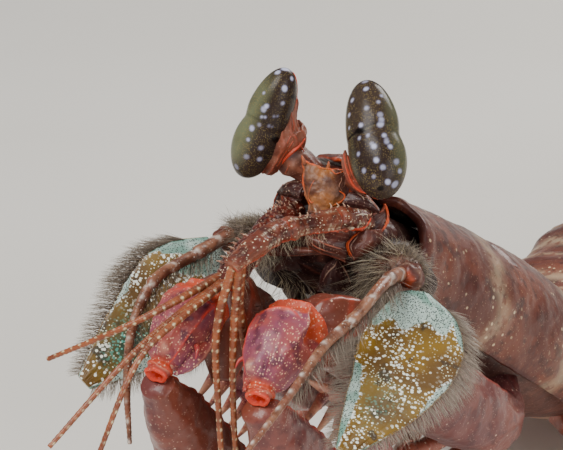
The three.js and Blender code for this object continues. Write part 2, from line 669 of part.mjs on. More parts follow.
// Swimmerets: a short stalk and two oval blades, folded back under the belly to the floor
function swimmeretSolid(pair, sign) {
  const name = `abdomen_${1 + pair}`;
  const { front } = segmentNamed(name);
  const root = onBody(name, 0.62, sign * front[0] * 0.52, -front[2] + 0.4);
  const stalk = sweep({
    path: alongCurve([root, root.clone().add(vec(sign * 0.6, 0.9, -2.0))]),
    size: profile([[1.8, 1.1, 1.1], [1.7, 0.9, 0.9]]),
    right: vec(1, 0, 0), sides: 5, rings: 1,
  });
  const blades = [1.9, -1.7].map((across, i) => {
    const start = root.clone().add(vec(sign * (0.6 + across * 0.4), 0.4, -1.3));
    const length = i === 0 ? 7.2 : 6.4;
    const end = vec(start.x + sign * across * 0.9, start.y + length, 0.1);
    return sweep({
      path: alongCurve([start, start.clone().lerp(end, 0.5).add(vec(0, 0, -0.5)), end]),
      size: profile([[0.9, 0.5, 0.5], [2.1, 0.5, 0.5], [2.3, 0.45, 0.45], [1.1, 0.35, 0.35]]),
      right: vec(1, 0, 0), sides: 4, rings: 3,
    });
  });
  return cut(join(stalk, ...blades), segmentSolid(segmentNamed(name), GAP), floorBlock);
}

// Telson: a broad plate with a ridge down the middle and teeth on its rear edge
const TELSON_HALF_WIDTH = 11.3;
const TELSON_TEETH = [2.2, 5.6, 8.6]; // how far each pair stands from the middle

const telsonPlate = (grow = 0) => bodyStretch('telson', 0, 'telson', 1, {
  size: profile([[6.4, 0.8, 1.0], [9.4, 1.3, 1.2], [11.0, 1.8, 1.4], [TELSON_HALF_WIDTH, 2.4, 1.8],
    [TELSON_HALF_WIDTH * 0.97, 2.8, 2.1]]),
  sides: 14, rings: 6, power: 2.2, grow,
});

function telsonSolid() {
  const ridge = sweep({
    path: alongCurve([
      onBody('telson', 0.04, 0, 0.7), onBody('telson', 0.5, 0, 2.2), onBody('telson', 0.9, 0, 2.8),
    ]),
    size: profile([[0.3, 0.5, 0.5], [0.7, 0.7, 0.7], [0.5, 0.4, 0.4]]),
    right: vec(1, 0, 0), sides: 4, rings: 4,
  });
  const teeth = SIDES.flatMap(({ sign }) => TELSON_TEETH.map((across, i) => {
    const back = [0, 1.4, 4.2][i];
    const root = onBody('telson', 0.1, sign * across * 0.86, 0).add(vec(0, -back, 0));
    const tip = root.clone().add(vec(sign * (0.3 + 0.35 * i), 3.6, -0.3));
    return spine(root, tip, 0.85, vec(0, 0, 0), 4);
  }));
  return cut(join(telsonPlate(), ridge, ...teeth), floorBlock);
}

// Uropods: the stalk with its forked spine, and two blades that spread beside the telson
const UROPOD_BLADES = [
  { out: 6.6, length: 14.2, halfWidth: 3.5, end: 0.3 },
  { out: 0.4, length: 12.6, halfWidth: 2.2, end: 0.3 },
];

function uropodSolid(sign) {
  const joint = onBody('abdomen_6', 0.06, sign * 11.4, -1.0);
  const stalk = sweep({
    path: alongCurve([
      joint.clone().add(vec(sign * -1.2, -1.4, 0.2)), joint.clone().add(vec(sign * 0.9, 2.2, -0.7)),
      joint.clone().add(vec(sign * 2.4, 5.0, -1.4)),
    ]),
    size: profile([[1.6, 1.3, 1.3], [1.7, 1.3, 1.3], [1.5, 1.0, 1.0]]),
    right: vec(1, 0, 0), sides: 8, rings: 4,
  });
  const blades = UROPOD_BLADES.flatMap(({ out, length, halfWidth, end }, i) => {
    const start = joint.clone().add(vec(sign * (out * 0.25 + 1.4), 3.4, -1.3));
    const tip = vec(start.x + sign * out, start.y + length, end);
    const path = alongCurve([start, start.clone().lerp(tip, 0.5).add(vec(sign * 0.6, 0, 0.3)), tip]);
    const size = profile([
      [1.1, 0.6, 0.6], [halfWidth * 0.9, 0.55, 0.55], [halfWidth, 0.45, 0.45],
      [halfWidth * 0.85, 0.4, 0.4], [halfWidth * 0.4, 0.27, 0.27],
    ]);
    const right = vec(1, 0, 0);
    const hair = fringe({
      path, size, right, from: 0.45, length: 1.7, lean: [48, 48], seed: 31 + i,
      counts: sign > 0 ? TAIL_FAN_LOCKS[i] : [...TAIL_FAN_LOCKS[i]].reverse(),
    });
    return [sweep({ path, size, right, sides: 6, rings: 4 }), ...hair];
  });
  // The outer blade has a row of stout spines on its outer edge, longer towards its tip.
  const outer = UROPOD_BLADES[0];
  const spines = [];
  for (let i = 0; i < EXOPOD_SPINES; i++) {
    const share = 0.3 + (0.4 * i) / (EXOPOD_SPINES - 1);
    const root = joint.clone().add(vec(
      sign * (outer.out * (0.25 + share) + 1.4 + outer.halfWidth * 0.75), 3.4 + outer.length * share,
      -1.3 + (outer.end - joint.z + 1.3) * share + 0.35,
    ));
    const reach = 1.9 + 0.25 * i;
    const tip = root.clone().add(vec(sign * 0.55 * reach, 0.8 * reach, 0.1));
    spines.push(spine(root, tip, 0.42, vec(0, 0, 0), 4));
  }
  const fork = [0.2, 2.0].map((out, i) => spine(
    joint.clone().add(vec(sign * (0.9 + out * 0.3), 3.0, -1.8)),
    joint.clone().add(vec(sign * (0.9 + out), 9.5 - 2 * i, -3.4)), 0.7));
  return cut(
    join(stalk, ...blades, ...spines, ...fork),
    segmentSolid(segmentNamed('abdomen_6'), GAP), telsonPlate(GAP), floorBlock,
  );
}

// The whole animal
addNode('carapace', MATERIALS.shell, carapaceSolid());
addNode('thorax_front', MATERIALS.belly, thoraxCore());
addNode('rostral_plate', MATERIALS.face, cut(rostralPlate(), thoraxCore(GAP)));
addNode('ocular_somite', MATERIALS.face, cut(ocularSomite(), rostralPlate(GAP)));
addNode('head_front', MATERIALS.face, headFrontSolid());
addNode('mouthparts', MATERIALS.belly, mouthSolid());

for (const row of SEGMENTS) addNode(row.name, MATERIALS.shell, segmentSolid(row));
addNode('telson', MATERIALS.shell, telsonSolid());

for (const { tag, sign } of SIDES) {
  addNode(`eye_${tag}`, MATERIALS.cornea, corneaSolid(tag));
  addNode(`eyestalk_${tag}`, MATERIALS.stalk, stalkSolid(tag, sign));
  const feeler = join(stemSolid(tag), ...ANTENNULES[tag].strands.map(strandSolid));
  addNode(`antennule_${tag}`, MATERIALS.feeler, cut(feeler, headFrontSolid(GAP), ocularSomite(GAP)));
  addNode(`antenna_${tag}`, MATERIALS.feeler, antennaSolid(tag, sign));
  addNode(`antennal_scale_${tag}`, MATERIALS.scale, scaleSolid(tag, sign), LIMB_SMOOTHING);

  addNode(`claw_merus_${tag}`, MATERIALS.claw, cut(merusSolid(sign), thoraxCore(GAP), carapaceCover(GAP)));
  addNode(`claw_carpus_${tag}`, MATERIALS.claw, cut(carpusSolid(sign), merusSolid(sign, GAP)));
  addNode(`claw_propodus_${tag}`, MATERIALS.claw, cut(handSolid(sign), carpusSolid(sign, GAP)));
  addNode(`claw_dactyl_${tag}`, MATERIALS.claw, fingerSolid(sign));

  SMALL_MAXILLIPEDS.forEach((number, order) => {
    addNode(`maxilliped_${number}_${tag}`, MATERIALS.leg, maxillipedSolid(order, sign), LIMB_SMOOTHING);
  });
  for (let pair = 0; pair < LEG_PAIRS; pair++) {
    addNode(`walking_leg_${pair + 1}_${tag}`, MATERIALS.leg, legSolid(pair, sign), LIMB_SMOOTHING);
  }
  for (let pair = 0; pair < SWIMMERET_PAIRS; pair++) {
    addNode(`pleopod_${pair + 1}_${tag}`, MATERIALS.leg, swimmeretSolid(pair, sign), LIMB_SMOOTHING);
  }
  addNode(`uropod_${tag}`, MATERIALS.shell, uropodSolid(sign), LIMB_SMOOTHING);
}

// The origin goes on the floor under the middle of the model.
const bounds = new THREE.Box3().setFromObject(model);
const middle = bounds.getCenter(vec(0, 0, 0));
model.position.set(-middle.x, -middle.y, -bounds.min.z);

export default model;
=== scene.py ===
# %% [markdown]
# # A spearing mantis shrimp, life size
# This lesson dresses the solid model of a mantis shrimp for a close-up of its face. The solids give every
# length and place; here each body part gets its fine form, its markings, its gloss and its hair.
# We load the solids as a fixed frame first.

# %% Load the frame
import math

import bpy
import numpy as np
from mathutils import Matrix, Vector, noise
from mathutils.bvhtree import BVHTree


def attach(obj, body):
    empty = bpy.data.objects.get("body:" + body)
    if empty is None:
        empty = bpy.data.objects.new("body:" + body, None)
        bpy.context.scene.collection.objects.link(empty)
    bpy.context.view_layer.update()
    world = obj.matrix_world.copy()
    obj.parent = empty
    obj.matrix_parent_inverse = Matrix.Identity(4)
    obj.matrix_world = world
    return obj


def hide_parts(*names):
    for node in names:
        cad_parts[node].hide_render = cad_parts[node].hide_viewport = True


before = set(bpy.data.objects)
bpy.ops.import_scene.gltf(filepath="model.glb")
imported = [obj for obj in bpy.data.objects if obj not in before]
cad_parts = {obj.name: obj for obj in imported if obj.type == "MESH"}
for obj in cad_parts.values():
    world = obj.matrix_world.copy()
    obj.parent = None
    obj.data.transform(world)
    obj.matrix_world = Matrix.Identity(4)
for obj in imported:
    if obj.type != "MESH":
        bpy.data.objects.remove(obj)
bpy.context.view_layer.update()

# %% [markdown]
# ## Camera first
# The camera is close to the ground in front of the animal, 30 degrees round to its left and 20 degrees
# above the horizon. A long lens from 200 mm away keeps the near and far claws alike in size.

# %% Camera
MM = 0.001
EYE_PLATE = Vector((0.09, -56.0, 40.14))  # middle of the plate between the eyes, in millimetres
VIEW_AZIMUTH = 30.0
VIEW_ELEVATION = 20.0
VIEW_DISTANCE = 200.0
VIEW_WIDTH = 43.0  # millimetres across the picture at the eyes
SENSOR_WIDTH = 36.0
AIM_LEFT = 3.55  # the middle of the picture lies this far left of the eye plate and below it
AIM_DOWN = 2.67

azimuth = math.radians(VIEW_AZIMUTH)
elevation = math.radians(VIEW_ELEVATION)
view_back = Vector((math.sin(azimuth) * math.cos(elevation), -math.cos(azimuth) * math.cos(elevation),
                    math.sin(elevation)))
view_right = Vector((math.cos(azimuth), math.sin(azimuth), 0.0))
view_up = view_back.cross(view_right)
aim = EYE_PLATE - AIM_LEFT * view_right - AIM_DOWN * view_up

bpy.ops.object.select_all(action="DESELECT")
bpy.ops.object.camera_add(location=(aim + VIEW_DISTANCE * view_back) * MM,
                          rotation=(math.pi / 2 - elevation, 0.0, azimuth))
camera = bpy.context.object
camera.name = "camera"
camera.data.sensor_width = SENSOR_WIDTH
camera.data.lens = SENSOR_WIDTH * VIEW_DISTANCE / VIEW_WIDTH
camera.data.clip_start = 0.01
camera.data.clip_end = 20.0
bpy.context.scene.camera = camera
print("lens", round(camera.data.lens, 1))

# %% [markdown]
# ## Curves through named places
# Limbs and feelers bend smoothly through a few known places. A centripetal Catmull-Rom curve does this
# without loops or overshoot. The solids were built on the same curve, so pieces made here sit exactly
# where the solids are.

# %% Smooth curves
def catmull(points, t):
    """The point at share t of a smooth curve through the given points."""
    last = len(points) - 1
    place = t * last
    index = min(int(place), last - 1)
    weight = place - index
    before = points[index - 1] if index > 0 else points[0] * 2 - points[1]
    start, end = points[index], points[index + 1]
    after = points[index + 2] if index + 2 <= last else points[last] * 2 - points[last - 1]
    d0 = np.linalg.norm(before - start) ** 0.5
    d1 = np.linalg.norm(start - end) ** 0.5
    d2 = np.linalg.norm(end - after) ** 0.5
    d1 = d1 if d1 > 1e-4 else 1.0
    d0 = d0 if d0 > 1e-4 else d1
    d2 = d2 if d2 > 1e-4 else d1
    m1 = ((start - before) / d0 - (end - before) / (d0 + d1) + (end - start) / d1) * d1
    m2 = ((end - start) / d1 - (after - start) / (d1 + d2) + (after - end) / d2) * d1
    c2 = -3 * start + 3 * end - 2 * m1 - m2
    c3 = 2 * start - 2 * end + m1 + m2
    return start + m1 * weight + c2 * weight ** 2 + c3 * weight ** 3


def along(points):
    """A path: share t gives the point and the unit direction there."""
    places = [np.array(p, float) for p in points]

    def path(t):
        low, high = max(t - 1e-4, 0.0), min(t + 1e-4, 1.0)
        heading = catmull(places, high) - catmull(places, low)
        return catmull(places, t), heading / np.linalg.norm(heading)
    return path


def v3(x, y, z):
    return np.array((x, y, z), float)


def unit(vector):
    return vector / np.linalg.norm(vector)


def square_to(heading, right):
    """The direction nearest to right that is square to the heading."""
    return unit(right - heading * np.dot(right, heading))


SIDEWAYS = v3(1, 0, 0)
SMALLEST = 0.04  # half sizes that follow a profile never fall below this, in millimetres


def profile(rows):
    """Half sizes at even steps along a piece, joined smoothly. A row is one number where the piece is
    round, or side and depth, or side, up and down."""
    places = []
    for row in rows:
        sizes = [row] * 3 if isinstance(row, (int, float)) else [*row, row[-1]][:3]
        places.append(np.array(sizes, float))
    return lambda t: np.maximum(catmull(places, t), SMALLEST)


def taper(radius, power, end):
    """Half sizes of a round spine. A power below 1 keeps it thick until near its end."""
    return lambda t: np.full(3, radius * (1 - t) ** power + end)


def ball(side, up, down):
    """Half sizes of an egg, for a limb with round ends."""
    return lambda t: v3(side, up, down) * max(1 - (2 * t - 1) ** 2, 0.001) ** 0.5


print("curve helpers ready")

# %% [markdown]
# ## Shapes of relief and marks
# Ridges, grooves, folds and painted marks are sums of a few simple shapes. A bell is one smooth bump.
# Again repeats it like the rings of a flagellum, and a stripe runs along a limb at one place of its way
# round. A ramp climbs from 0 to 1, for edges and soft borders.

# %% Bumps and ramps
def bell(value, centre, width):
    """A smooth bump of height 1 at the centre."""
    return np.exp(-((value - centre) / width) ** 2)


def again(value, centre, width, period=1.0):
    """A bump that comes back with every period."""
    return bell(np.mod(value, period), centre, width)


def stripe(angle, centre, width):
    """A bump at one angle, measured the short way round."""
    return bell(np.abs(np.mod(angle - centre + np.pi, 2 * np.pi) - np.pi), 0, width)


def held(value):
    return np.clip(value, 0, 1)


def ramp(value, start, width):
    """Climbs from 0 at the start to 1 after the width. With a width below 0 it climbs the other way."""
    return held((value - start) / width)


print("half way up a ramp:", ramp(0.5, 0.0, 1.0))


# %% [markdown]
# ## The line of the back
# Tail and swimmerets rest on the floor, and from the thorax forwards the body rises more steeply with
# every ring. The body plan lists the length and the steepness of every segment, from the tail forwards.

# %% Body plan
TAIL_HEIGHT = 1.9
BODY_PLAN = [
    ("telson", 19, 12), ("abdomen_6", 10, 8), ("abdomen_5", 12, 5), ("abdomen_4", 12, 1),
    ("abdomen_3", 11.5, 0), ("abdomen_2", 11.5, 0), ("abdomen_1", 11, 2), ("thorax_8", 8, 9),
    ("thorax_7", 7.5, 18), ("thorax_6", 7.5, 27), ("carapace_rear", 11, 34),
    ("carapace_middle", 11, 36), ("carapace_front", 11, 38),
]
PLAN_NAMES = [row[0] for row in BODY_PLAN]
EYE_PLATE_FROM_CARAPACE = v3(0, -2.4, 4.9)

line = [v3(0, 0, TAIL_HEIGHT)]
for _, length, rise in BODY_PLAN:
    slope = math.radians(rise)
    line.append(line[-1] + v3(0, -length * math.cos(slope), length * math.sin(slope)))
shift = np.array(EYE_PLATE) - (line[-1] + EYE_PLATE_FROM_CARAPACE)
backbone = along([place + shift for place in line])
print("model shift, millimetres:", shift.round(2))


def body_at(name, share):
    """Point, direction and up of the middle line, at a share of the named length."""
    point, heading = backbone((PLAN_NAMES.index(name) + share) / len(BODY_PLAN))
    return point, heading, np.cross(heading, SIDEWAYS)


def on_body(name, share, across, above):
    point, _, up = body_at(name, share)
    return point + up * above + v3(across, 0, 0)


def body_path(start, start_share, end, end_share):
    first = PLAN_NAMES.index(start) + start_share
    last = PLAN_NAMES.index(end) + end_share
    return lambda t: backbone(min(max((first + (last - first) * t) / len(BODY_PLAN), 0.0), 1.0))


def head(x, y, z):
    """A place on the head, from the middle of the eye plate, in millimetres."""
    return np.array(EYE_PLATE) + v3(x, y, z)


def heads(*places):
    return [head(*place) for place in places]


def seen(right, up, towards=0.0):
    """A place as the camera sees it: millimetres right and up of the eye plate in the picture, and how
    much nearer it is. What is nearer looks larger, so its offsets shrink."""
    shrink = 1 - towards / VIEW_DISTANCE
    across = view_right * (right + AIM_LEFT) * shrink
    return np.array(aim + across + view_up * (up + AIM_DOWN) * shrink + view_back * towards)


# %% [markdown]
# ## Turning a primitive into a limb
# A limb starts as a disc that is extruded ring by ring into a straight column, as one would by hand.
# Each ring is then moved onto the limb's path, turned square to it and sized by the limb's profile. A
# relief pushes single places out or in, for ridges, grooves and swellings. The blank column is made once
# for each number of sides and rings, and every limb gets its own copy.
# Two attributes go with every limb: "run" holds the distance from its root in millimetres and the way
# round, and "marks" holds three masks that the materials read: pale spots, bright edges, dark parts.

# %% Limb maker
blanks = {}


def clear_selection():
    if bpy.context.mode != "OBJECT":
        bpy.ops.object.mode_set(mode="OBJECT")
    bpy.ops.object.select_all(action="DESELECT")


def blank_column(sides, rings):
    if (sides, rings) not in blanks:
        clear_selection()
        bpy.ops.mesh.primitive_circle_add(vertices=sides, radius=1, fill_type="TRIFAN")
        column = bpy.context.object
        bpy.ops.object.mode_set(mode="EDIT")
        for _ in range(rings):
            bpy.ops.mesh.extrude_region_move(TRANSFORM_OT_translate={"value": (0, 0, 1 / rings)})
        bpy.ops.mesh.select_all(action="SELECT")
        bpy.ops.mesh.normals_make_consistent(inside=False)
        bpy.ops.object.mode_set(mode="OBJECT")
        blanks[(sides, rings)] = column.data.copy()
        bpy.data.objects.remove(column)
    return blanks[(sides, rings)].copy()


def read_points(mesh):
    points = np.empty(len(mesh.vertices) * 3)
    mesh.vertices.foreach_get("co", points)
    return points.reshape(-1, 3)


def write_points(mesh, points):
    mesh.vertices.foreach_set("co", np.ascontiguousarray(points, float).ravel())
    mesh.update()


def store(mesh, name, kind, values):
    layer = mesh.attributes.get(name) or mesh.attributes.new(name, kind, "POINT")
    field = "color" if kind == "FLOAT_COLOR" else "vector"
    layer.data.foreach_set(field, np.ascontiguousarray(values, float).ravel())


def masks(count, pale, edge, dark):
    """Packs three masks, from 0 to 1, into one colour for each point."""
    packed = np.ones((count, 4))
    for channel, value in enumerate((pale, edge, dark)):
        packed[:, channel] = held(value)
    return packed


def squared(value, power):
    return np.sign(value) * np.abs(value) ** (2 / power)


def point_outwards(piece):
    clear_selection()
    bpy.context.view_layer.objects.active = piece
    piece.select_set(True)
    bpy.ops.object.mode_set(mode="EDIT")
    bpy.ops.mesh.select_all(action="SELECT")
    bpy.ops.mesh.normals_make_consistent(inside=False)
    bpy.ops.object.mode_set(mode="OBJECT")
    piece.data.polygons.foreach_set("use_smooth", [True] * len(piece.data.polygons))


def new_piece(name, mesh):
    piece = bpy.data.objects.new(name, mesh)
    mesh.name = name
    bpy.context.scene.collection.objects.link(piece)
    return piece


def limb(name, path, size, right=SIDEWAYS, sides=24, rings=24, power=2.0, round_ends=False, relief=None,
         marks=(0, 0, 0)):
    """Path and size are functions of the share along the limb, or lists for along and profile. Marks are
    pale, edge and dark, or a function that paints them."""
    path = path if callable(path) else along(path)
    size = size if callable(size) else profile(size)
    mesh = blank_column(sides, rings)
    blank = read_points(mesh)
    ring = np.rint(blank[:, 2] * rings).astype(int)
    share = np.arange(rings + 1) / rings
    if round_ends:
        share = (1 - np.cos(np.pi * share)) / 2
    centres, sideways, upwards, sizes = [], [], [], []
    for t in share:
        point, heading = path(t)
        side = square_to(heading, right)
        centres.append(point)
        sideways.append(side)
        upwards.append(np.cross(heading, side))
        sizes.append(size(t))
    centres, sideways = np.array(centres), np.array(sideways)
    upwards, sizes = np.array(upwards), np.array(sizes)
    steps = np.linalg.norm(np.diff(centres, axis=0), axis=1)
    distance = np.concatenate([[0], np.cumsum(steps)])[ring]
    angle = np.arctan2(blank[:, 1], blank[:, 0])
    on_ring = (np.hypot(blank[:, 0], blank[:, 1]) > 0.5).astype(float)
    height = np.where(np.sin(angle) > 0, sizes[ring, 1], sizes[ring, 2])
    x = on_ring * squared(np.cos(angle), power) * sizes[ring, 0]
    z = on_ring * squared(np.sin(angle), power) * height
    if relief is not None:
        reach = np.maximum(np.hypot(x, z), 1e-6)
        push = 1 + on_ring * relief(share[ring], angle) / reach
        x, z = x * push, z * push
    points = centres[ring] + sideways[ring] * x[:, None] + upwards[ring] * z[:, None]
    write_points(mesh, points * MM)
    store(mesh, "run", "FLOAT_VECTOR", np.stack([distance, np.cos(angle), np.sin(angle)], 1))
    values = marks(share[ring], angle, distance) if callable(marks) else marks
    store(mesh, "marks", "FLOAT_COLOR", masks(len(points), *values))
    piece = new_piece(name, mesh)
    point_outwards(piece)
    return piece


print("limb maker ready")

# %% [markdown]
# ## Turning a grid into a thin plate
# Shells and blades that are open at the edge start as a grid. A surface function says where each place
# of the grid goes, and a Solidify modifier, applied at once, gives the plate its thickness.

# %% Plate maker
def plate(name, surface, columns, rows, thickness, marks=None):
    clear_selection()
    bpy.ops.mesh.primitive_grid_add(x_subdivisions=columns, y_subdivisions=rows, size=2)
    piece = bpy.context.object
    piece.name = name
    piece.data.name = name
    blank = read_points(piece.data)
    u = (blank[:, 0] + 1) / 2
    v = (blank[:, 1] + 1) / 2
    points = surface(u, v)
    write_points(piece.data, points * MM)
    store(piece.data, "run", "FLOAT_VECTOR", np.stack([u, v, np.zeros_like(u)], 1))
    values = marks(u, v) if marks else (0, 0, 0)
    store(piece.data, "marks", "FLOAT_COLOR", masks(len(points), *values))
    modifier = piece.modifiers.new("thickness", "SOLIDIFY")
    modifier.thickness = thickness * MM
    modifier.offset = 0.0  # half the wall on each side
    bpy.ops.object.modifier_apply(modifier="thickness")
    point_outwards(piece)
    return piece


def lift_to_floor(piece):
    """Presses whatever would reach below the floor flat against it."""
    points = read_points(piece.data)
    points[:, 2] = np.maximum(points[:, 2], 0.0)
    write_points(piece.data, points)
    return piece


def join_pieces(name, pieces):
    """Joins pieces of one body part into one object."""
    clear_selection()
    for piece in pieces:
        piece.select_set(True)
    bpy.context.view_layer.objects.active = pieces[0]
    bpy.ops.object.join()
    pieces[0].name = name
    pieces[0].data.name = name
    return pieces[0]


print("plate maker ready")

# %% [markdown]
# ## Helpers for living surfaces
# Nothing on an animal is quite smooth. A fractal noise moves every point a little along its normal, with
# lumps of a given width, so the unevenness is real shape and not only a bump in the material. Folds of
# skin and raised rims are slim rolls. Their paths are given as the camera sees them and are dropped onto
# the piece that carries them, so they lie on it from every side. A leaf is a domed plate between two
# edges, which are also given as the camera sees them.

# %% Uneven skin, and rolls that lie on a piece
DROP_FROM = 60.0  # millimetres in front of the piece, where a dropped place starts
CLOSEST = 0.1  # places nearer to each other than this are left out


def roughen(piece, width, depth):
    """Moves each point along its normal by noise; width and depth in millimetres."""
    points = read_points(piece.data)
    normals = np.empty(len(points) * 3)
    piece.data.vertices.foreach_get("normal", normals)
    heights = np.array([noise.fractal(Vector(point) * (1000 / width), 0.9, 2.0, 3) for point in points])
    write_points(piece.data, points + normals.reshape(-1, 3) * heights[:, None] * depth * MM)


def lay_on(piece, places):
    """Drops places, given as right and up from the camera, onto a piece."""
    mesh = piece.data
    tree = BVHTree.FromPolygons([vertex.co.copy() for vertex in mesh.vertices],
                                [tuple(face.vertices) for face in mesh.polygons])
    laid = []
    for right, up in places:
        start = seen(right, up, DROP_FROM)
        hit = tree.ray_cast(Vector(start * MM), Vector(unit(seen(right, up) - start)))[0]
        if hit is None:
            hit = tree.find_nearest(Vector(seen(right, up, 3) * MM))[0]
        place = np.array(hit) / MM
        if not laid or math.dist(place, laid[-1]) > CLOSEST:
            laid.append(place)
    return laid


def roll(piece, places, radius, edge, pale=0.0):
    """A slim roll of skin laid on a piece, thickest in the middle, tapering to both ends."""
    length = sum(math.dist(a, b) for a, b in zip(places, places[1:]))

    def size(t):
        return np.full(3, radius * (0.25 + 0.75 * math.sin(math.pi * t) ** 0.6))
    return limb("roll", lay_on(piece, places), size, np.array(view_right), sides=10,
                rings=max(12, int(length * 8)), marks=(pale, edge, 0))


LEAF_WALL = 0.16


def leaf(name, first, second, near, bulge, columns=36, rows=30, marks=None, sag=0.0):
    """A domed plate between two edges, which are rows of places as the camera sees them. Near holds how
    near it is at its start and end. Sag lowers the middle of the end."""
    edges = [along([v3(right, up, 0) for right, up in row]) for row in (first, second)]

    def surface(u, v):
        points = []
        for across, share in zip(u, v):
            start, end = edges[0](share)[0], edges[1](share)[0]
            right, up, _ = start + (end - start) * across
            dome = bulge * 4 * across * (1 - across) * (0.55 + 0.45 * math.sin(math.pi * share))
            points.append(seen(right, up - sag * math.sin(math.pi * across) * share ** 6,
                               near[0] + (near[1] - near[0]) * share + dome))
        return np.array(points)
    return plate(name, surface, columns, rows, LEAF_WALL, marks=marks)


print("skin helpers ready")

# %% [markdown]
# ## Hair as fine solid spikes
# Crustaceans carry setae: stiff, tapered hairs. Each is a slim three-sided spike that bends over, so it
# keeps its shape in an export where particle hair would be lost. All spikes of a patch are one mesh. Its
# OFBake map holds, for each hair, a tiny patch at the place of its root on the skin's own unwrap, so a
# baked colour stays the hair's own.

# %% Hair maker
HAIR_STEPS = 4
BAKE_PATCH = 0.003


def hair_mesh(name, hairs):
    """Each hair is its root, direction, bend, length, width and place on the unwrap with its tone."""
    roots, directions, bends, lengths, widths, places = map(np.array, zip(*hairs))
    count = len(roots)
    heading = directions / np.linalg.norm(directions, axis=1)[:, None]
    helper = np.where(np.abs(heading[:, 2:3]) < 0.8, v3(0, 0, 1), SIDEWAYS)
    first = np.cross(heading, helper)
    first /= np.linalg.norm(first, axis=1)[:, None]
    second = np.cross(heading, first)
    rings = []
    for step in range(HAIR_STEPS):
        s = step / HAIR_STEPS
        middle = roots + heading * (lengths * s)[:, None] + bends * (lengths * s * s)[:, None]
        radius = widths * 0.5 * (1 - s) ** 0.6
        for corner in range(3):
            turn = 2 * math.pi * corner / 3
            out = first * math.cos(turn) + second * math.sin(turn)
            rings.append(middle + out * radius[:, None])
    rings.append(roots + heading * lengths[:, None] + bends * lengths[:, None])
    points = np.stack(rings, 1)
    per_hair = HAIR_STEPS * 3 + 1
    faces = [(0, 2, 1)]
    for step in range(HAIR_STEPS - 1):
        for corner in range(3):
            a = step * 3 + corner
            b = step * 3 + (corner + 1) % 3
            faces.append((a, b, b + 3))
            faces.append((a, b + 3, a + 3))
    top = (HAIR_STEPS - 1) * 3
    for corner in range(3):
        faces.append((top + corner, top + (corner + 1) % 3, per_hair - 1))
    pattern = np.array(faces)
    all_faces = (pattern[None] + (np.arange(count) * per_hair)[:, None, None]).reshape(-1, 3)
    mesh = bpy.data.meshes.new(name)
    mesh.vertices.add(count * per_hair)
    mesh.loops.add(len(all_faces) * 3)
    mesh.polygons.add(len(all_faces))
    mesh.vertices.foreach_set("co", (points * MM).ravel())
    mesh.loops.foreach_set("vertex_index", all_faces.ravel().astype(np.int32))
    mesh.polygons.foreach_set("loop_start", np.arange(0, len(all_faces) * 3, 3, dtype=np.int32))
    mesh.update()
    mesh.validate()
    tone = np.repeat(places[:, 2], per_hair)
    share = np.tile(np.append(np.repeat(np.arange(HAIR_STEPS) / HAIR_STEPS, 3), 1.0), count)
    store(mesh, "marks", "FLOAT_COLOR", masks(len(tone), tone, share, 0.0))
    around = np.tile(np.append(np.tile(np.arange(3) / 3, HAIR_STEPS), 0.5), count)
    uv = np.repeat(places[:, :2], per_hair, axis=0)
    uv = uv + (np.stack([around, share], 1) - 0.5) * BAKE_PATCH
    layer = mesh.uv_layers.new(name="OFBake")
    loops = np.empty(len(mesh.loops), np.int32)
    mesh.loops.foreach_get("vertex_index", loops)
    layer.data.foreach_set("uv", uv[loops].ravel())
    mesh.polygons.foreach_set("use_smooth", [True] * len(mesh.polygons))
    piece = new_piece(name, mesh)
    lift_to_floor(piece)
    print(name, "hairs", count, "triangles", len(all_faces))
    return piece


# %% [markdown]
# ## Finishing a piece
# Every piece gets its material and hides the solid that it takes the place of. The model is still, so
# every piece rides on its one body.

# %% Finish helper
def place_piece(piece, replaces=()):
    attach(piece, "root")
    if replaces:
        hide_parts(*replaces)
    return piece


def finish(piece, material, replaces=()):
    piece.data.materials.clear()
    piece.data.materials.append(material)
    return place_piece(piece, replaces)


def finish_side(part, tag, pieces, material):
    """Joins the pieces of one part of one side, which takes the place of the solid of its name."""
    return finish(join_pieces(f"{part}_skin_{tag}", pieces), material, [f"{part}_{tag}"])


print("finish helper ready")

# %% [markdown]
# ## Colours and one way to build a material
# Crustacean shell is a thin, clear, waxy cuticle over living pigment. It is glossy when wet, lets light
# in a little way, and glows where it gets thin, as along every rim; that glow is painted, as a bright
# rim colour along the edges. Under it lie a base colour, darker clouds of pigment some millimetres wide,
# and pale chromatophore specks of 0.1 to 0.3 mm. Colours are given as hex values as a screen shows them,
# and turned to linear light by one function.
# A finish is then painted in layers, from masks: soft clouds, round specks, and the masks of the piece.

# %% Material helpers
NOISE_SCALE = 500.0  # scale of a noise whose patches are one millimetre wide
CELL_SCALE = 1000.0  # scale of cells that lie one millimetre apart


def colour(code):
    channels = [int(code[i:i + 2], 16) / 255 for i in (1, 3, 5)]
    linear = [c / 12.92 if c <= 0.04045 else ((c + 0.055) / 1.055) ** 2.4 for c in channels]
    return (*linear, 1.0)


def add_node(tree, kind, inputs=None, **settings):
    """Adds a node. Each of its inputs is given as another node's output, a number or a hex colour."""
    made = tree.nodes.new(kind)
    for key, value in settings.items():
        setattr(made, key, value)
    for key, value in (inputs or {}).items():
        if isinstance(value, bpy.types.NodeSocket):
            tree.links.new(value, made.inputs[key])
        else:
            made.inputs[key].default_value = colour(value) if isinstance(value, str) else value
    return made


def new_material(name):
    """A material with its place on the piece, in metres, and the three masks of the piece."""
    material = bpy.data.materials.new(name)
    material.use_nodes = True
    tree = material.node_tree
    tree.nodes.clear()
    place = add_node(tree, "ShaderNodeTexCoord").outputs["Object"]
    marks = add_node(tree, "ShaderNodeAttribute", attribute_name="marks")
    split = add_node(tree, "ShaderNodeSeparateColor", {"Color": marks.outputs["Color"]})
    return material, tree, place, split.outputs["Red"], split.outputs["Green"], split.outputs["Blue"]


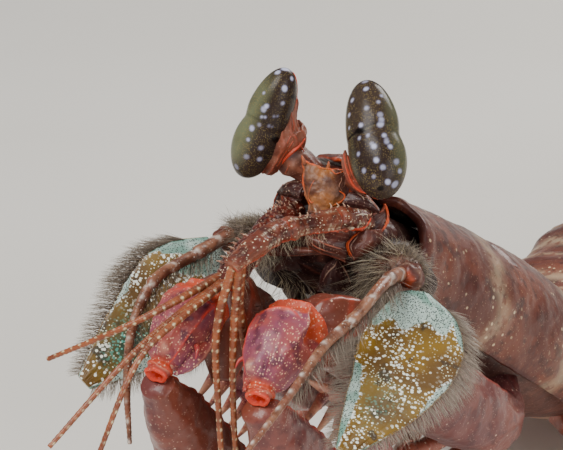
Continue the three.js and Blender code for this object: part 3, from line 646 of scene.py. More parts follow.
def layer(tree, below, top, *coverage):
    """Paints a colour over what is below, as far as all the masks together let it show."""
    mask = coverage[0]
    for other in coverage[1:]:
        mask = add_node(tree, "ShaderNodeMath", {0: mask, 1: other}, operation="MULTIPLY").outputs[0]
    painted = add_node(tree, "ShaderNodeMix", {0: mask, 6: below, 7: top}, data_type="RGBA")
    return painted.outputs[2]


def cloud(tree, place, width, low=0.35, high=0.65, detail=3.0, least=0.0):
    """Soft patches about the given width in millimetres, as a mask that never falls below the least."""
    made = add_node(tree, "ShaderNodeTexNoise", {"Vector": place, "Scale": NOISE_SCALE / width,
                    "Detail": detail})
    patches = add_node(tree, "ShaderNodeMapRange", {"Value": made.outputs["Fac"], "From Min": low,
                       "From Max": high, "To Min": least}, interpolation_type="SMOOTHSTEP")
    return patches.outputs["Result"]


def dots(tree, place, spacing, radius, share, soft=0.06, stretch=(1.0, 1.0, 1.0)):
    """Specks in a random scatter. Spacing and radius in millimetres; share of the places filled."""
    turned = add_node(tree, "ShaderNodeMapping", {"Vector": place, "Scale": stretch})
    cells = add_node(tree, "ShaderNodeTexVoronoi", {"Vector": turned.outputs["Vector"],
                     "Scale": CELL_SCALE / spacing, "Randomness": 1.0})
    edge = radius / spacing
    inside = add_node(tree, "ShaderNodeMapRange", {"Value": cells.outputs["Distance"],
                      "From Min": edge + soft, "From Max": edge - soft}, interpolation_type="SMOOTHSTEP")
    pick = add_node(tree, "ShaderNodeSeparateColor", {"Color": cells.outputs["Color"]})
    chosen = add_node(tree, "ShaderNodeMath", {0: pick.outputs["Red"], 1: share}, operation="LESS_THAN")
    both = add_node(tree, "ShaderNodeMath", {0: inside.outputs["Result"], 1: chosen.outputs[0]},
                    operation="MULTIPLY")
    return both.outputs[0]


def surface(tree, base, bump, roughness, coat, scatter, radius=(0.5, 0.2, 0.12), bump_depth=0.05, gloss=0.4):
    """The shared cuticle: a waxy, glossy layer over a body that light enters a little way."""
    relief = add_node(tree, "ShaderNodeBump", {"Height": bump, "Strength": 0.8, "Distance": bump_depth * MM})
    shader = add_node(tree, "ShaderNodeBsdfPrincipled", {
        "Base Color": base, "Normal": relief.outputs["Normal"], "Roughness": roughness, "IOR": 1.5,
        "Specular IOR Level": gloss, "Coat Weight": coat, "Coat Roughness": 0.15,
        "Subsurface Weight": scatter, "Subsurface Radius": radius, "Subsurface Scale": MM})
    add_node(tree, "ShaderNodeOutputMaterial", {"Surface": shader.outputs["BSDF"]})


def cuticle(name, base, cloudy, deep, speck, rim, dark, cloud_width=2.0, specks=(0.7, 0.12, 0.5),
            stretch=(1.0, 1.0, 1.0), mottle=0.6, roughness=0.36, coat=0.25, scatter=0.1, grain=0.35,
            bump_depth=0.1, grit=0.3):
    """A pigmented cuticle: clouds of a second colour, fine dark mottling, pale specks, bright rims and
    painted marks. Specks are given as spacing, radius and share."""
    material, tree, place, pale, edge, marked = new_material(name)
    broken = cloud(tree, place, 0.5, low=0.36, high=0.52, least=0.25)
    tone = layer(tree, base, cloudy, cloud(tree, place, cloud_width))
    tone = layer(tree, tone, deep, cloud(tree, place, 0.6, low=0.48, high=0.64, detail=5.0), mottle)
    tone = layer(tree, tone, dark, marked)
    tone = layer(tree, tone, speck, dots(tree, place, 0.22, 0.05, 0.5, soft=0.12), grit)
    flecks = dots(tree, place, *specks, stretch=stretch)
    tone = layer(tree, tone, speck, flecks, cloud(tree, place, cloud_width * 1.4, low=0.42, high=0.56))
    # The rim colour is painted along the edges; where it is bright, it is a painted glow of thin cuticle.
    tone = layer(tree, tone, rim, edge, broken)
    tone = layer(tree, tone, speck, pale, broken)
    fine = add_node(tree, "ShaderNodeTexNoise", {"Vector": place, "Scale": NOISE_SCALE / grain,
                    "Detail": 4.0})
    surface(tree, tone, fine.outputs["Fac"], roughness, coat, scatter, bump_depth=bump_depth)
    return material


# %% [markdown]
# ## The finishes of this animal
# Its claws are coral red over mauve, its feelers a translucent maroon with cream specks, its head plates
# tan and orange, and the shell of the back a mottled red-brown that is paler underneath.

# %% Cuticle materials
# Its speck colour also paints the highlight on the bulge of the carpus.
claw_cuticle = cuticle("claw_cuticle_coral", "#85465a", "#a84b42", "#58283a", "#f0b795", "#e23f26", "#cc4a1c",
                       cloud_width=1.6, specks=(0.19, 0.047, 0.85), stretch=(1.0, 0.5, 0.8), mottle=0.85,
                       grit=0.6, scatter=0.06, roughness=0.45, coat=0.08)
# The hands are plum, and their colour is darkened further as painted shade, for the shadow they lie in.
shaded_hand_cuticle = cuticle("hand_cuticle_plum_and_shade", "#6f3a38", "#86483c", "#4a2229", "#e6c4ac", "#c9482e", "#7a3a24",
                       cloud_width=2.4, specks=(0.7, 0.09, 0.4))
stem_cuticle = cuticle("stem_cuticle_brown", "#703323", "#8c4d36", "#421a15", "#f7e6c2", "#dd4a2c", "#451c18",
                       cloud_width=1.0, specks=(0.23, 0.045, 0.85), stretch=(0.7, 0.7, 1.0), mottle=0.85,
                       scatter=0.05, grit=0.25)
spiny_cuticle = cuticle("spiny_cuticle_dark_red", "#5c2016", "#782c1d", "#2e100e", "#ecd6b6", "#d9452e",
                        "#2a0f10", cloud_width=0.9, specks=(0.28, 0.06, 0.7), mottle=0.8, scatter=0.05)
whip_cuticle = cuticle("whip_cuticle_banded", "#82503c", "#98694f", "#57301f", "#ddd2c6", "#b8553a",
                       "#54281f", cloud_width=0.8, specks=(0.36, 0.06, 0.6), mottle=0.8, coat=0.1)
flagellum_cuticle = cuticle("flagellum_cuticle_brown", "#9a5430", "#834529", "#683420", "#f0e2b4", "#c9573a",
                            "#5f3024", cloud_width=0.6, specks=(0.5, 0.04, 0.2), mottle=0.3, grit=0.1)
head_cuticle = cuticle("head_cuticle_red", "#5a2a20", "#733a2a", "#3a1815", "#d9b8a0", "#e2561f", "#3a1a19",
                       cloud_width=1.0, specks=(0.3, 0.05, 0.4), roughness=0.42, coat=0.1)
plate_cuticle = cuticle("plate_cuticle_amber", "#75503c", "#b06a2c", "#51291b", "#8f7768", "#e05a24",
                        "#3f1c16", cloud_width=1.7, specks=(0.2, 0.03, 0.35), mottle=0.9, grit=0.08,
                        scatter=0.08, roughness=0.5, coat=0.05)
stalk_cuticle = cuticle("stalk_cuticle_red", "#85452f", "#94573f", "#552518", "#d9a48a", "#e2492a", "#4a2320",
                        cloud_width=0.9, specks=(0.3, 0.035, 0.5), roughness=0.45, coat=0.1)
shell_cuticle = cuticle("shell_cuticle_mottled", "#7d4533", "#5f3026", "#43211c", "#dcc19c", "#4f221c",
                        "#b38a72", cloud_width=2.6, specks=(0.75, 0.14, 0.6), roughness=0.42, coat=0.15,
                        grain=0.5, bump_depth=0.14, mottle=0.8)
limb_cuticle = cuticle("limb_cuticle_pink", "#a8624f", "#8a4a3a", "#6c3529", "#ecd2bb", "#d0563a", "#6f332a",
                       cloud_width=1.2, specks=(0.6, 0.09, 0.45))
# Its dark colour also paints the shade at the front of the body and on the wall behind the mouth.
flesh = cuticle("joint_skin_flesh", "#77493c", "#5c382f", "#40241f", "#c9a890", "#a84a34", "#2e1715",
                cloud_width=1.5, specks=(0.8, 0.06, 0.2), roughness=0.5, coat=0.1, scatter=0.2)
print("cuticles:", len(bpy.data.materials))


# %% [markdown]
# ## The cornea
# A stomatopod's eye is a glossy capsule of thousands of facets, pinched at the mid-band. Here it is dark
# brown-grey with a fine gold speckle, an olive outer margin, a dark line along the mid-band and pale lilac
# spots. The spots follow the eye's own shape, so they come from the "marks" attribute.

# %% Cornea material
cornea_finish, tree, place, pale, margin, band = new_material("cornea_facets_glossy")
tone = layer(tree, "#302522", "#40342d", cloud(tree, place, 1.6))
# The olive margin colour; its mask also carries a painted sheen along the eye's outline.
tone = layer(tree, tone, "#6d7255", margin, cloud(tree, place, 1.2, low=0.3, high=0.6, least=0.5))
gold = dots(tree, place, 0.11, 0.034, 0.7, soft=0.25)
tone = layer(tree, tone, "#97834d", gold, cloud(tree, place, 0.7, low=0.34, high=0.6, least=0.3), 0.6)
tone = layer(tree, tone, "#0e0808", band)
tone = layer(tree, tone, "#8f8dac", pale, cloud(tree, place, 0.2, low=0.3, high=0.5, least=0.6))
tone = layer(tree, tone, "#d6daf2", pale, pale, 0.6)
facets = add_node(tree, "ShaderNodeTexVoronoi", {"Vector": place, "Scale": CELL_SCALE / 0.09})
surface(tree, tone, facets.outputs["Distance"], 0.2, 0.0, 0.03, bump_depth=0.006, gloss=0.17)
print("cornea finish ready")

# %% [markdown]
# ## The eyes
# Each cornea is a long capsule with two lobes: the lower is fuller, and the outer side is nipped in at the
# mid-band, so it looks kidney-shaped. The pale spots differ between the two eyes, so each eye has its own
# short list: height above the middle, distance across, and radius, in millimetres. Dark spots are the
# places where the facets look straight at us. The far side of the eye carries the pale spots mirrored, as
# the real pattern runs all round.

# %% Corneas
EYE_LENGTH = 9.4
EYE_RADIUS = 1.8
# Each eye is turned its own way, and shows more or less of its broad side: centre, axis and breadth.
EYES = {
    "left": (head(4.5, -1.0, 5.1), unit(v3(-4.3, 4.5, 7.9)), 1.18),
    "right": (head(-4.75, -1.4, 5.0), unit(v3(3.3, 1.4, 9.0)), 1.0),
}
PALE_SPOTS = {
    "left": [(4.4, 0.0, 0.28), (4.4, -0.5, 0.12), (3.8, -0.1, 0.24), (3.7, -1.2, 0.16), (3.1, -1.2, 0.21),
             (3.1, 1.0, 0.14), (2.7, 0.7, 0.17), (2.1, -1.6, 0.19), (2.3, -0.3, 0.2), (1.7, 0.7, 0.26),
             (1.35, 0.65, 0.24), (1.0, 0.6, 0.3), (1.1, -1.75, 0.12), (1.2, -0.9, 0.2), (0.3, -0.5, 0.15),
             (0.2, -1.2, 0.14), (0.1, 0.7, 0.22), (-0.15, 0.75, 0.2), (-0.4, 0.8, 0.23), (-0.8, 1.0, 0.21),
             (-0.35, -0.35, 0.2), (-0.6, -0.25, 0.24), (-0.9, -1.4, 0.2), (-1.6, -0.2, 0.23),
             (-1.9, 1.3, 0.27), (-2.2, 0.2, 0.24), (-2.2, -1.2, 0.24), (-2.8, -0.6, 0.19),
             (-2.7, 1.4, 0.22), (-3.3, 0.4, 0.24), (-3.6, 0.9, 0.32)],
    "right": [(4.7, -0.3, 0.34), (3.8, -0.6, 0.26), (3.8, 0.6, 0.18), (2.9, 0.4, 0.26), (2.0, -0.9, 0.13),
              (1.8, 0.7, 0.18), (1.15, -0.35, 0.22), (0.9, -0.45, 0.26), (0.75, 0.7, 0.1), (0.7, 0.5, 0.1),
              (0.3, -0.4, 0.12), (0.3, -0.1, 0.1), (-0.1, 0.4, 0.12), (-0.15, 0.65, 0.1),
              (-0.3, -0.3, 0.17), (-0.8, -0.7, 0.25), (-1.9, 0.5, 0.24), (-1.7, -0.6, 0.17),
              (-2.7, 0.7, 0.23), (-2.9, -0.3, 0.26), (-3.9, -0.7, 0.27), (-4.6, -0.3, 0.28)],
}
DARK_SPOTS = {"left": [(0.75, -1.1, 0.3), (0.7, -0.8, 0.2), (-3.7, -0.2, 0.25)],
              "right": [(-0.9, 1.3, 0.34), (2.6, 1.3, 0.24)]}
SIDES = (("left", 1), ("right", -1))
FACING = np.array(view_back)


# %% Cornea maker
def eye_radius(share):
    """The cornea's half width at a share of its length, from the lower end."""
    return EYE_RADIUS * max((1 - abs(2 * share - 1) ** 2.5) ** 0.5, 0.001) * (1.09 - 0.16 * share)


def eye_frame(tag):
    centre, axis, _ = EYES[tag]
    front = square_to(axis, FACING)
    return centre, axis, front, np.cross(axis, front)


def cornea(tag, sign):
    centre, axis, front, across = eye_frame(tag)

    def nip(t, angle):
        outer = held(sign * np.cos(angle))
        dents = -0.2 * outer * bell(t, 0.5, 0.09) + 0.1 * outer * bell(t, 0.25, 0.16)
        return dents - 0.03 * bell(t, 0.5, 0.03)

    piece = limb(f"cornea_{tag}", lambda t: (centre + axis * (t - 0.5) * EYE_LENGTH, axis),
                 lambda t: v3(EYES[tag][2], 1.04, 1.0) * eye_radius(t), sides=128, rings=140, round_ends=True,
                 relief=nip)
    points = read_points(piece.data) / MM - centre
    height, side, depth = points @ axis, points @ across, points @ front
    upright = square_to(FACING, axis)  # the eye's axis as seen from the front
    seen_height = points @ upright
    pale, dark = np.zeros(len(points)), np.zeros(len(points))
    for up, over, radius in PALE_SPOTS[tag]:
        for mirror in (1, -1):
            miss = np.hypot(seen_height - up, side - over * mirror) + EYE_LENGTH * (depth * mirror < 0.12)
            near = np.linalg.norm(points - points[np.argmin(miss)], axis=1)
            near = near * (1 + 0.1 * np.sin(5 * height + 7 * side + up))
            soft = held((radius * 0.85 - near) / 0.14 + 0.5)
            pale = np.maximum(pale, soft * (0.75 + 0.25 * math.sin(7 * up)))
    for up, over, radius in DARK_SPOTS[tag]:
        near = np.hypot((seen_height - up) * 1.3, side - over)
        dark = np.maximum(dark, held((radius - near) / 0.16 + 0.5) * (depth > 0))
    # The mid-band is a dark line that dips towards the head, with a thin pale edge under it.
    band_line = height - 0.62 - 0.1 * np.sin(side * 1.6) * sign + 0.12 * side ** 2
    band = bell(band_line, 0.0, 0.09) * (held(0.75 - 0.4 * side) if sign > 0 else 0.3)
    light_line = bell(band_line, -0.16, 0.04) * 0.35 * (1 if sign > 0 else 0.0)
    start = 0.75 if sign > 0 else 0.1
    margin = held((side * sign - start) / 1.1) * (0.9 if sign < 0 else 0.55)
    margin = margin * ramp(np.abs(height), 4.4, -1.5) + light_line
    # A lighter band along the outline, as the camera sees the eye, is a painted sheen.
    rim = ramp(np.abs(side), 1.5, 0.3) * 0.25
    dark = np.maximum(dark, band)
    store(piece.data, "marks", "FLOAT_COLOR",
          masks(len(points), pale * (1 - 0.8 * dark), np.maximum(margin, rim), dark))
    return finish(piece, cornea_finish, [f"eye_{tag}"])


for tag, sign in SIDES:
    eye = cornea(tag, sign)
    print(eye.name, "faces", len(eye.data.polygons))

# %% [markdown]
# ## The eye stalks
# Each eye sits on a cup of thin, dark red skin at the end of a short stalk. The cup hugs the inner side of
# the eye: slim at the top, and widest below the middle, where its loose rim stands off. One eye is turned
# so that its cup shows beside it; the other hides all but a crescent of its own. A seam runs round where
# cup and cornea meet, and slim rolls of skin lie over the cup as its folds, with a painted orange-red glow.

# %% Eye stalks
SEAM = 0.8  # how far out the seam lies, as a share of the cornea's half width
# Rows along the eye, from below: height, distance from the eye's axis, half width, half depth.
CUPS = {"right": (20, [(-3.75, 1.4, 0.6, 0.7), (-3.1, 1.4, 1.05, 1.2), (-2.2, 1.45, 1.15, 1.45),
                       (-1.3, 1.55, 1.5, 1.6), (-0.55, 1.65, 1.9, 1.6), (-0.05, 1.35, 1.5, 1.5),
                       (0.8, 1.1, 1.1, 1.25), (2.2, 0.9, 0.8, 0.9), (3.7, 0.5, 0.3, 0.3)]),
        "left": (75, [(-3.7, 1.1, 0.8, 0.5), (-3.0, 1.3, 1.1, 0.95), (-2.0, 1.5, 1.3, 1.25),
                      (-0.9, 1.6, 1.6, 1.4), (0.0, 1.7, 1.7, 1.4), (0.5, 1.4, 1.4, 1.35),
                      (1.2, 1.1, 1.1, 1.2), (2.4, 0.9, 0.8, 0.85), (3.7, 0.5, 0.3, 0.3)])}
STALK_FOLDS = {
    "right": [
        ([(-1.74, 3.95), (-2.14, 3.45), (-2.74, 2.9), (-3.28, 2.4), (-3.5, 2.0)], 0.15, 1.0),
        ([(-2.3, 4.3), (-2.75, 3.6), (-3.3, 2.8), (-3.8, 1.95), (-4.3, 1.25)], 0.05, 0.5),
        ([(-2.35, 5.6), (-2.6, 4.7), (-3.0, 3.8), (-3.6, 2.6)], 0.05, 0.4),
        ([(-1.6, 3.85), (-1.62, 3.4), (-1.8, 2.9)], 0.09, 0.5),
        ([(-2.9, 2.1), (-3.05, 1.7), (-3.3, 1.2)], 0.06, 0.3),
    ],
    "left": [
        ([(1.22, 2.81), (1.3, 2.07), (1.52, 1.31), (1.84, 0.55), (2.28, 0.05), (2.77, -0.2),
          (3.32, -0.27)], 0.08, 0.85),
        ([(1.5, 2.6), (1.57, 2.2), (1.79, 1.42), (2.12, 0.76), (2.66, 0.16), (3.21, -0.16)], 0.07, 0.6),
        ([(1.3, 2.7), (1.4, 2.0), (1.64, 1.3), (1.98, 0.62)], 0.05, 0.35),
    ],
}


# %% Eye stalk maker
def eye_stalk(tag, sign):
    centre, axis, front, across = eye_frame(tag)

    def inwards(degrees):
        turn = math.radians(degrees)
        return -across * sign * math.cos(turn) - front * math.sin(turn)
    degrees, rows = CUPS[tag]
    inner = inwards(degrees)

    def folds(t, angle):
        return 0.1 * again(angle + 0.5 * t, 0.27, 0.09, 0.55) + 0.05 * np.sin(5 * angle + 9 * t)

    def paint(t, angle, distance):
        ridges = again(angle + 0.5 * t, 0.27, 0.05, 0.55)
        return 0.12 * ridges, 0.25 * ridges, 0.5 * held(1 - t * 2.6)

    cup = limb("cup", [centre + axis * up + inner * out for up, out, _, _ in rows],
               [(wide, deep) for _, _, wide, deep in rows], inner, sides=84, rings=72, relief=folds,
               marks=paint)
    neck = limb("neck", [head(sign * 1.3, 0.7, 0.0), head(sign * 2.1, 0.5, 1.1),
                         centre + inner * 2.3 - axis * 1.8, centre + inner * 1.8 - axis * 1.0],
                [1.0, (1.15, 1.1), (1.3, 1.25), 1.1], axis, sides=56, rings=40,
                relief=lambda t, angle: 0.1 * again(3 * t, 0.5, 0.15) + 0.06 * np.sin(7 * angle),
                marks=lambda t, angle, distance: (0.3 * again(3 * t, 0.5, 0.12), 0,
                                                  0.45 + 0.3 * np.sin(5 * angle)))
    cup = join_pieces(f"eye_stalk_{tag}", [cup, neck])
    roughen(cup, 0.8, 0.08)
    # The seam follows the cornea round, in a plane that lies towards the stalk.
    inner = inwards(30)
    forward = np.cross(axis, inner)
    reach = 4.45

    def seam_path(t):
        def place(turn):
            height = reach * math.cos(turn)
            radius = eye_radius(height / EYE_LENGTH + 0.5)
            depth = min(SEAM * EYE_RADIUS, radius * 0.97)
            return centre + axis * height + inner * depth \
                + forward * math.sqrt(max(radius ** 2 - depth ** 2, 0)) * math.copysign(1, math.sin(turn))
        turn = 2 * math.pi * t + 0.01
        return place(turn), unit(place(turn + 0.02) - place(turn - 0.02))
    seam = limb("seam", seam_path, lambda t: np.full(3, 0.06 + 0.04 * math.sin(math.pi * t)), inner, sides=10,
                rings=150, marks=(0, 0.8, 0))
    # The collar is a crescent of loose skin below the inner side of the eye that looks at us.
    if sign > 0:
        lane = [(1.3, 3.05), (1.36, 2.14), (1.7, 1.2), (2.15, 0.5), (2.65, 0.02), (3.25, -0.22)]
        widths = profile([(0.08, 0.1), (0.36, 0.12), (0.42, 0.14), (0.4, 0.14), (0.3, 0.12), 0.06])
        collar = limb("collar", [seen(right, up, 3.6) for right, up in lane], widths,
                      np.array(view_right), sides=20, rings=60,
                      marks=lambda t, angle, distance: (0, 0.25 * bell(t, 0.62, 0.25), 0.4))
        cup = join_pieces(f"eye_stalk_{tag}", [cup, collar])
    rolls = [roll(cup, places, radius, edge) for places, radius, edge in STALK_FOLDS[tag]]
    stalk = join_pieces(f"eye_stalk_{tag}", [cup, seam] + rolls)
    return finish(stalk, stalk_cuticle, [f"eyestalk_{tag}"])


for tag, sign in SIDES:
    print(eye_stalk(tag, sign).name)

# %% [markdown]
# ## The plates between the eyes
# The rostral plate is a small pointed shield hinged to the carapace. In front of it the ocular somite
# shows as a tan, cloudy, heart-shaped plate with raised orange edges. Both are thick plates with rims.

# %% Rostral plate and ocular somite
def rostral_paint(t, angle, distance):
    side_edge = ramp(np.abs(np.cos(angle)), 0.92, 0.06)
    tip = ramp(t, 0.93, 0.05)
    return 0.0, held(side_edge + tip) * 0.6, 0.5 * held(0.3 - t)


rostral = limb(
    "rostral_plate_skin",
    heads((0, 5.7, -0.8), (0, 4.2, 0.5), (0, 2.7, 1.5), (0, 1.0, 2.2)),
    [(2.4, 0.5, 0.4), (3.2, 0.7, 0.45), (2.3, 0.55, 0.4), (0.08, 0.1)], sides=64, rings=48,
    relief=lambda t, angle: 0.13 * ramp(np.abs(np.cos(angle)), 0.8, 0.15) * (t < 0.95)
    - 0.12 * bell(np.abs(np.cos(angle)), 0.55, 0.2) * held(np.sin(angle)),
    marks=rostral_paint)
roughen(rostral, 1.2, 0.06)
finish(rostral, head_cuticle, ["rostral_plate"])


def somite_relief(t, angle):
    lumps = 0.09 * np.sin(5 * angle + 9 * t) * np.sin(3 * angle - 7 * t)
    return lumps - 0.15 * bell(t, 0.5, 0.08) + 0.1 * bell(t, 0.88, 0.05)


somite = limb("ocular_somite_skin", heads((0, 2.2, -0.4), (0, 0.6, 0.0), (0, -1.0, -0.2)),
              [(1.9, 1.5), (1.95, 1.65, 1.6), (1.3, 1.1, 1.3)], sides=80, rings=56, power=2.6,
              relief=somite_relief, marks=lambda t, angle, distance: (0, 0.35 * bell(t, 0.86, 0.03), 0.7))
roughen(somite, 1.0, 0.12)


def shield_paint(u, v):
    side = np.abs(u - 0.5) * 2
    rim = ramp(side, 0.93, 0.04) * (v > 0.2) * 0.8 + ramp(v, 0.965, 0.02)
    shade = ramp(u, 0.62, 0.16) * ramp(v, 0.25, 0.2) * 0.85
    shade = shade + 0.5 * bell(v, 0.62, 0.05) * bell(u, 0.3, 0.25) + 0.5 * bell(side, 0.88, 0.06)
    pale = 0.08 * bell(u, 0.36, 0.12) * bell(v, 0.6, 0.16) + 0.1 * bell(v, 0.12, 0.05) * bell(u, 0.45, 0.2)
    return pale, rim, shade


# The front plate is heart-shaped: wide and wavy at the top, narrow below, domed, with curled edges.
shield = leaf(
    "shield", [(-1.55, -1.75), (-1.44, -1.13), (-1.68, -0.48), (-1.9, 0.39), (-1.84, 1.27), (-1.96, 2.4)],
    [(0.41, -1.7), (0.96, -0.97), (1.5, -0.37), (1.7, 0.17), (1.58, 1.05), (1.5, 1.6)],
    (1.5, 1.2), 0.75, columns=72, rows=72, marks=shield_paint, sag=0.35)
roughen(shield, 0.7, 0.1)
shield_parts = [shield]
for places, radius, edge, pale in (
        ([(-1.05, 0.75), (-1.3, 0.3), (-1.45, -0.2), (-1.5, -0.62), (-1.22, -0.98), (-1.1, -0.85)],
         0.06, 0.8, 0.1),
        ([(1.66, -0.21), (1.29, -0.43), (1.01, -0.86), (0.52, -1.13), (0.2, -1.2)], 0.08, 0.95, 0.0),
        ([(-1.9, 2.25), (-1.3, 2.0), (-0.57, 1.66), (0.2, 1.6), (0.96, 1.62), (1.45, 1.55)], 0.06, 0.9, 0.0),
        ([(-1.8, 1.3), (-1.86, 0.5), (-1.66, -0.4), (-1.42, -1.1)], 0.05, 0.7, 0.0),
        ([(0.9, 1.3), (1.05, 0.8), (0.85, 0.3), (1.1, -0.1)], 0.05, 0.2, 0.5),
        ([(1.25, 1.35), (1.35, 0.8), (1.2, 0.2)], 0.04, 0.2, 0.4)):
    shield_parts.append(roll(shield, places, radius, edge, pale))
for right, up, tip_right, tip_up in ((-1.75, 1.95, -2.0, 2.65), (0.0, 1.5, 0.06, 2.2),
                                     (1.25, 1.45, 1.35, 2.0)):
    path = [seen(right, up, 1.3), seen((right + tip_right) / 2, (up + tip_up) / 2, 1.35),
            seen(tip_right, tip_up, 1.2)]
    shield_parts.append(limb("spike", path, taper(0.2, 0.8, 0.02), sides=12, rings=12,
                             marks=lambda t, angle, distance: (0, 0.6 * t, 0.4)))
for piece in shield_parts:
    piece.data.materials.append(plate_cuticle)
somite.data.materials.append(head_cuticle)
somite_whole = join_pieces("ocular_somite_skin", [somite] + shield_parts)
place_piece(somite_whole, ["ocular_somite"])
print("plates between the eyes:", len(somite_whole.data.polygons), "faces")

# %% [markdown]
# ## The front of the head
# Below the eyes the feelers' segment spans the face. Thin plates lie over each other on its front: on each
# side a hooked one that ends in a sharp point and a veil of plum-coloured skin above it, with pale veins;
# under the feelers a wide fold, a dark plate with a bright orange edge, and the forked lip. Each is a leaf
# between two edges; the hook, the veil and the rimmed plate are made once for each side of the head, the
# others only once.

# %% Face and its plates
def face_relief(t, angle):
    folds = 0.12 * np.sin(9 * angle + 5 * t) * held(-np.sin(angle))
    return folds + 0.08 * np.sin(5 * angle - 12 * t) - 0.2 * bell(t, 0.6, 0.06)


def face_paint(t, angle, distance):
    lines = again(angle * 1.2 + 1.5 * t, 0.35, 0.05, 0.7) * held(-np.sin(angle))
    return 0.12 * lines, 0.2 * lines, 0.6 + 0.4 * held(-np.sin(angle) + 0.2)


face = limb("face", heads((0, 2.3, -4.7), (0, 0.9, -3.9), (0, -0.9, -3.6)),
            [(4.6, 2.9, 3.4), (4.2, 2.0, 2.9), (2.9, 1.4, 2.0)], sides=88, rings=48, power=2.6,
            relief=face_relief, marks=face_paint)
roughen(face, 1.2, 0.12)


def edged(far, near=0.0, end=0.0, shade=0.6):
    """Marks for a leaf: bright along its far edge, its near edge and its end, and shaded between."""
    def marks(u, v):
        rim = ramp(u, 0.93, 0.03) * far + ramp(u, 0.07, -0.03) * near + ramp(v, 0.95, 0.02) * end
        veins = 0.12 * again(u * 6 + 0.6 * np.sin(3 * v), 0.5, 0.07)
        return veins, held(rim), shade * (1 - held(rim))
    return marks


# %% Leaves and rolls of the face
# Each leaf: name, two edges, how near it is at its start and end, its dome and its marks.
FACE_LEAVES = [
    ("hook", [(2.75, -2.3), (3.25, -1.95), (3.69, -1.68), (4.01, -1.62), (4.23, -1.41), (4.34, -1.06)],
     [(2.92, -3.2), (3.79, -3.37), (4.23, -3.04), (4.58, -2.33), (4.58, -1.73), (4.34, -1.06)],
     (1.7, 1.2), -0.3, edged(1.0, 0.25, 1.0, 0.5)),
    ("veil", [(1.1, -1.4), (2.38, -1.5), (3.2, -1.62), (3.95, -1.75)],
     [(1.2, -0.2), (2.27, -0.1), (3.14, -0.59), (3.9, -1.5)], (1.3, 1.5), 0.5, edged(0.35, shade=0.9)),
    ("rimmed plate", [(4.0, -3.0), (4.12, -3.75), (3.69, -4.3), (2.92, -4.84), (2.05, -5.39)],
     [(2.38, -3.1), (1.78, -3.7), (1.42, -4.19), (1.56, -4.73), (1.89, -5.33)],
     (1.9, 1.9), 0.7, edged(1.0, shade=0.25)),
    ("fold", [(-1.7, -3.3), (-0.68, -3.4), (0.2, -3.35), (0.96, -3.3), (1.7, -3.2)],
     [(-1.64, -3.59), (-1.44, -4.24), (-0.57, -4.79), (0.41, -5.11), (1.35, -5.5)],
     (0.8, 1.1), 0.8, edged(0.3, shade=0.4)),
    ("lip", [(-0.79, -7.7), (-0.64, -6.97), (-0.23, -5.9), (0.62, -5.1)],
     [(2.12, -7.7), (1.84, -6.97), (1.43, -6.0), (0.86, -5.1)], (-1.6, 0.3), 0.6, edged(0.0, shade=1.0)),
    ("ledge", [(-5.62, -4.9), (-3.4, -4.96), (-1.2, -4.9), (-0.3, -4.8)],
     [(-4.93, -4.4), (-3.13, -4.3), (-1.33, -4.45), (-0.4, -4.3)],
     (-1.2, 0.6), 0.4, edged(0.0, 0.5, 0.0, 0.2)),
]
# Rolls that lie on the leaves: leaf, places, radius, bright edge, pale.
FACE_ROLLS = [
    ("veil", [(2.1, -0.2), (2.65, -0.53), (2.81, -1.03)], 0.05, 0.1, 0.7),
    ("veil", [(2.65, -0.53), (3.14, -0.7), (3.36, -1.13)], 0.05, 0.1, 0.7),
    ("veil", [(3.0, -0.62), (3.3, -0.85), (3.65, -1.3)], 0.04, 0.1, 0.6),
    ("veil", [(2.27, -0.16), (3.0, -0.56), (3.5, -1.05), (3.85, -1.5)], 0.06, 0.5, 0.3),
    ("rimmed plate", [(2.3, -3.5), (1.98, -3.9), (1.75, -4.3), (1.95, -4.9)], 0.05, 0.1, 0.45),
    ("rimmed plate", [(2.45, -3.2), (1.9, -3.65), (1.56, -4.15), (1.66, -4.7), (1.98, -5.2)], 0.08, 1.0, 0.0),
    ("fold", [(-0.89, -3.59), (-0.46, -4.02), (0.31, -4.3), (1.07, -4.51)], 0.07, 0.35, 0.15),
    ("fold", [(-1.4, -3.7), (-1.1, -4.2), (-0.3, -4.6), (0.6, -4.85)], 0.05, 0.3, 0.1),
    ("lip", [(0.74, -5.3), (0.5, -5.8), (0.0, -6.3), (-0.4, -7.0)], 0.06, 0.0, 0.35),
    ("lip", [(0.74, -5.3), (1.1, -5.8), (1.5, -6.5), (1.75, -7.2)], 0.06, 0.0, 0.35),
]
face_parts = [face]
for mirrored in (False, True):
    for name, first, second, near, bulge, marks in FACE_LEAVES:
        if mirrored and name in ("fold", "lip", "ledge"):
            continue
        piece = leaf(name, first, second, near, bulge, columns=40, rows=44, marks=marks)
        roughen(piece, 0.8, 0.06)
        rolls = [roll(piece, places, radius, edge, pale) for carrier, places, radius, edge, pale in FACE_ROLLS
                 if carrier == name]
        for part in [piece] + rolls:
            if mirrored:
                points = read_points(part.data)
                points[:, 0] = 2 * EYE_PLATE[0] * MM - points[:, 0]
                write_points(part.data, points)
                point_outwards(part)
        face_parts += [piece] + rolls
front = join_pieces("head_front_skin", face_parts)
finish(front, head_cuticle, ["head_front"])
print("head front:", len(front.data.polygons), "faces")
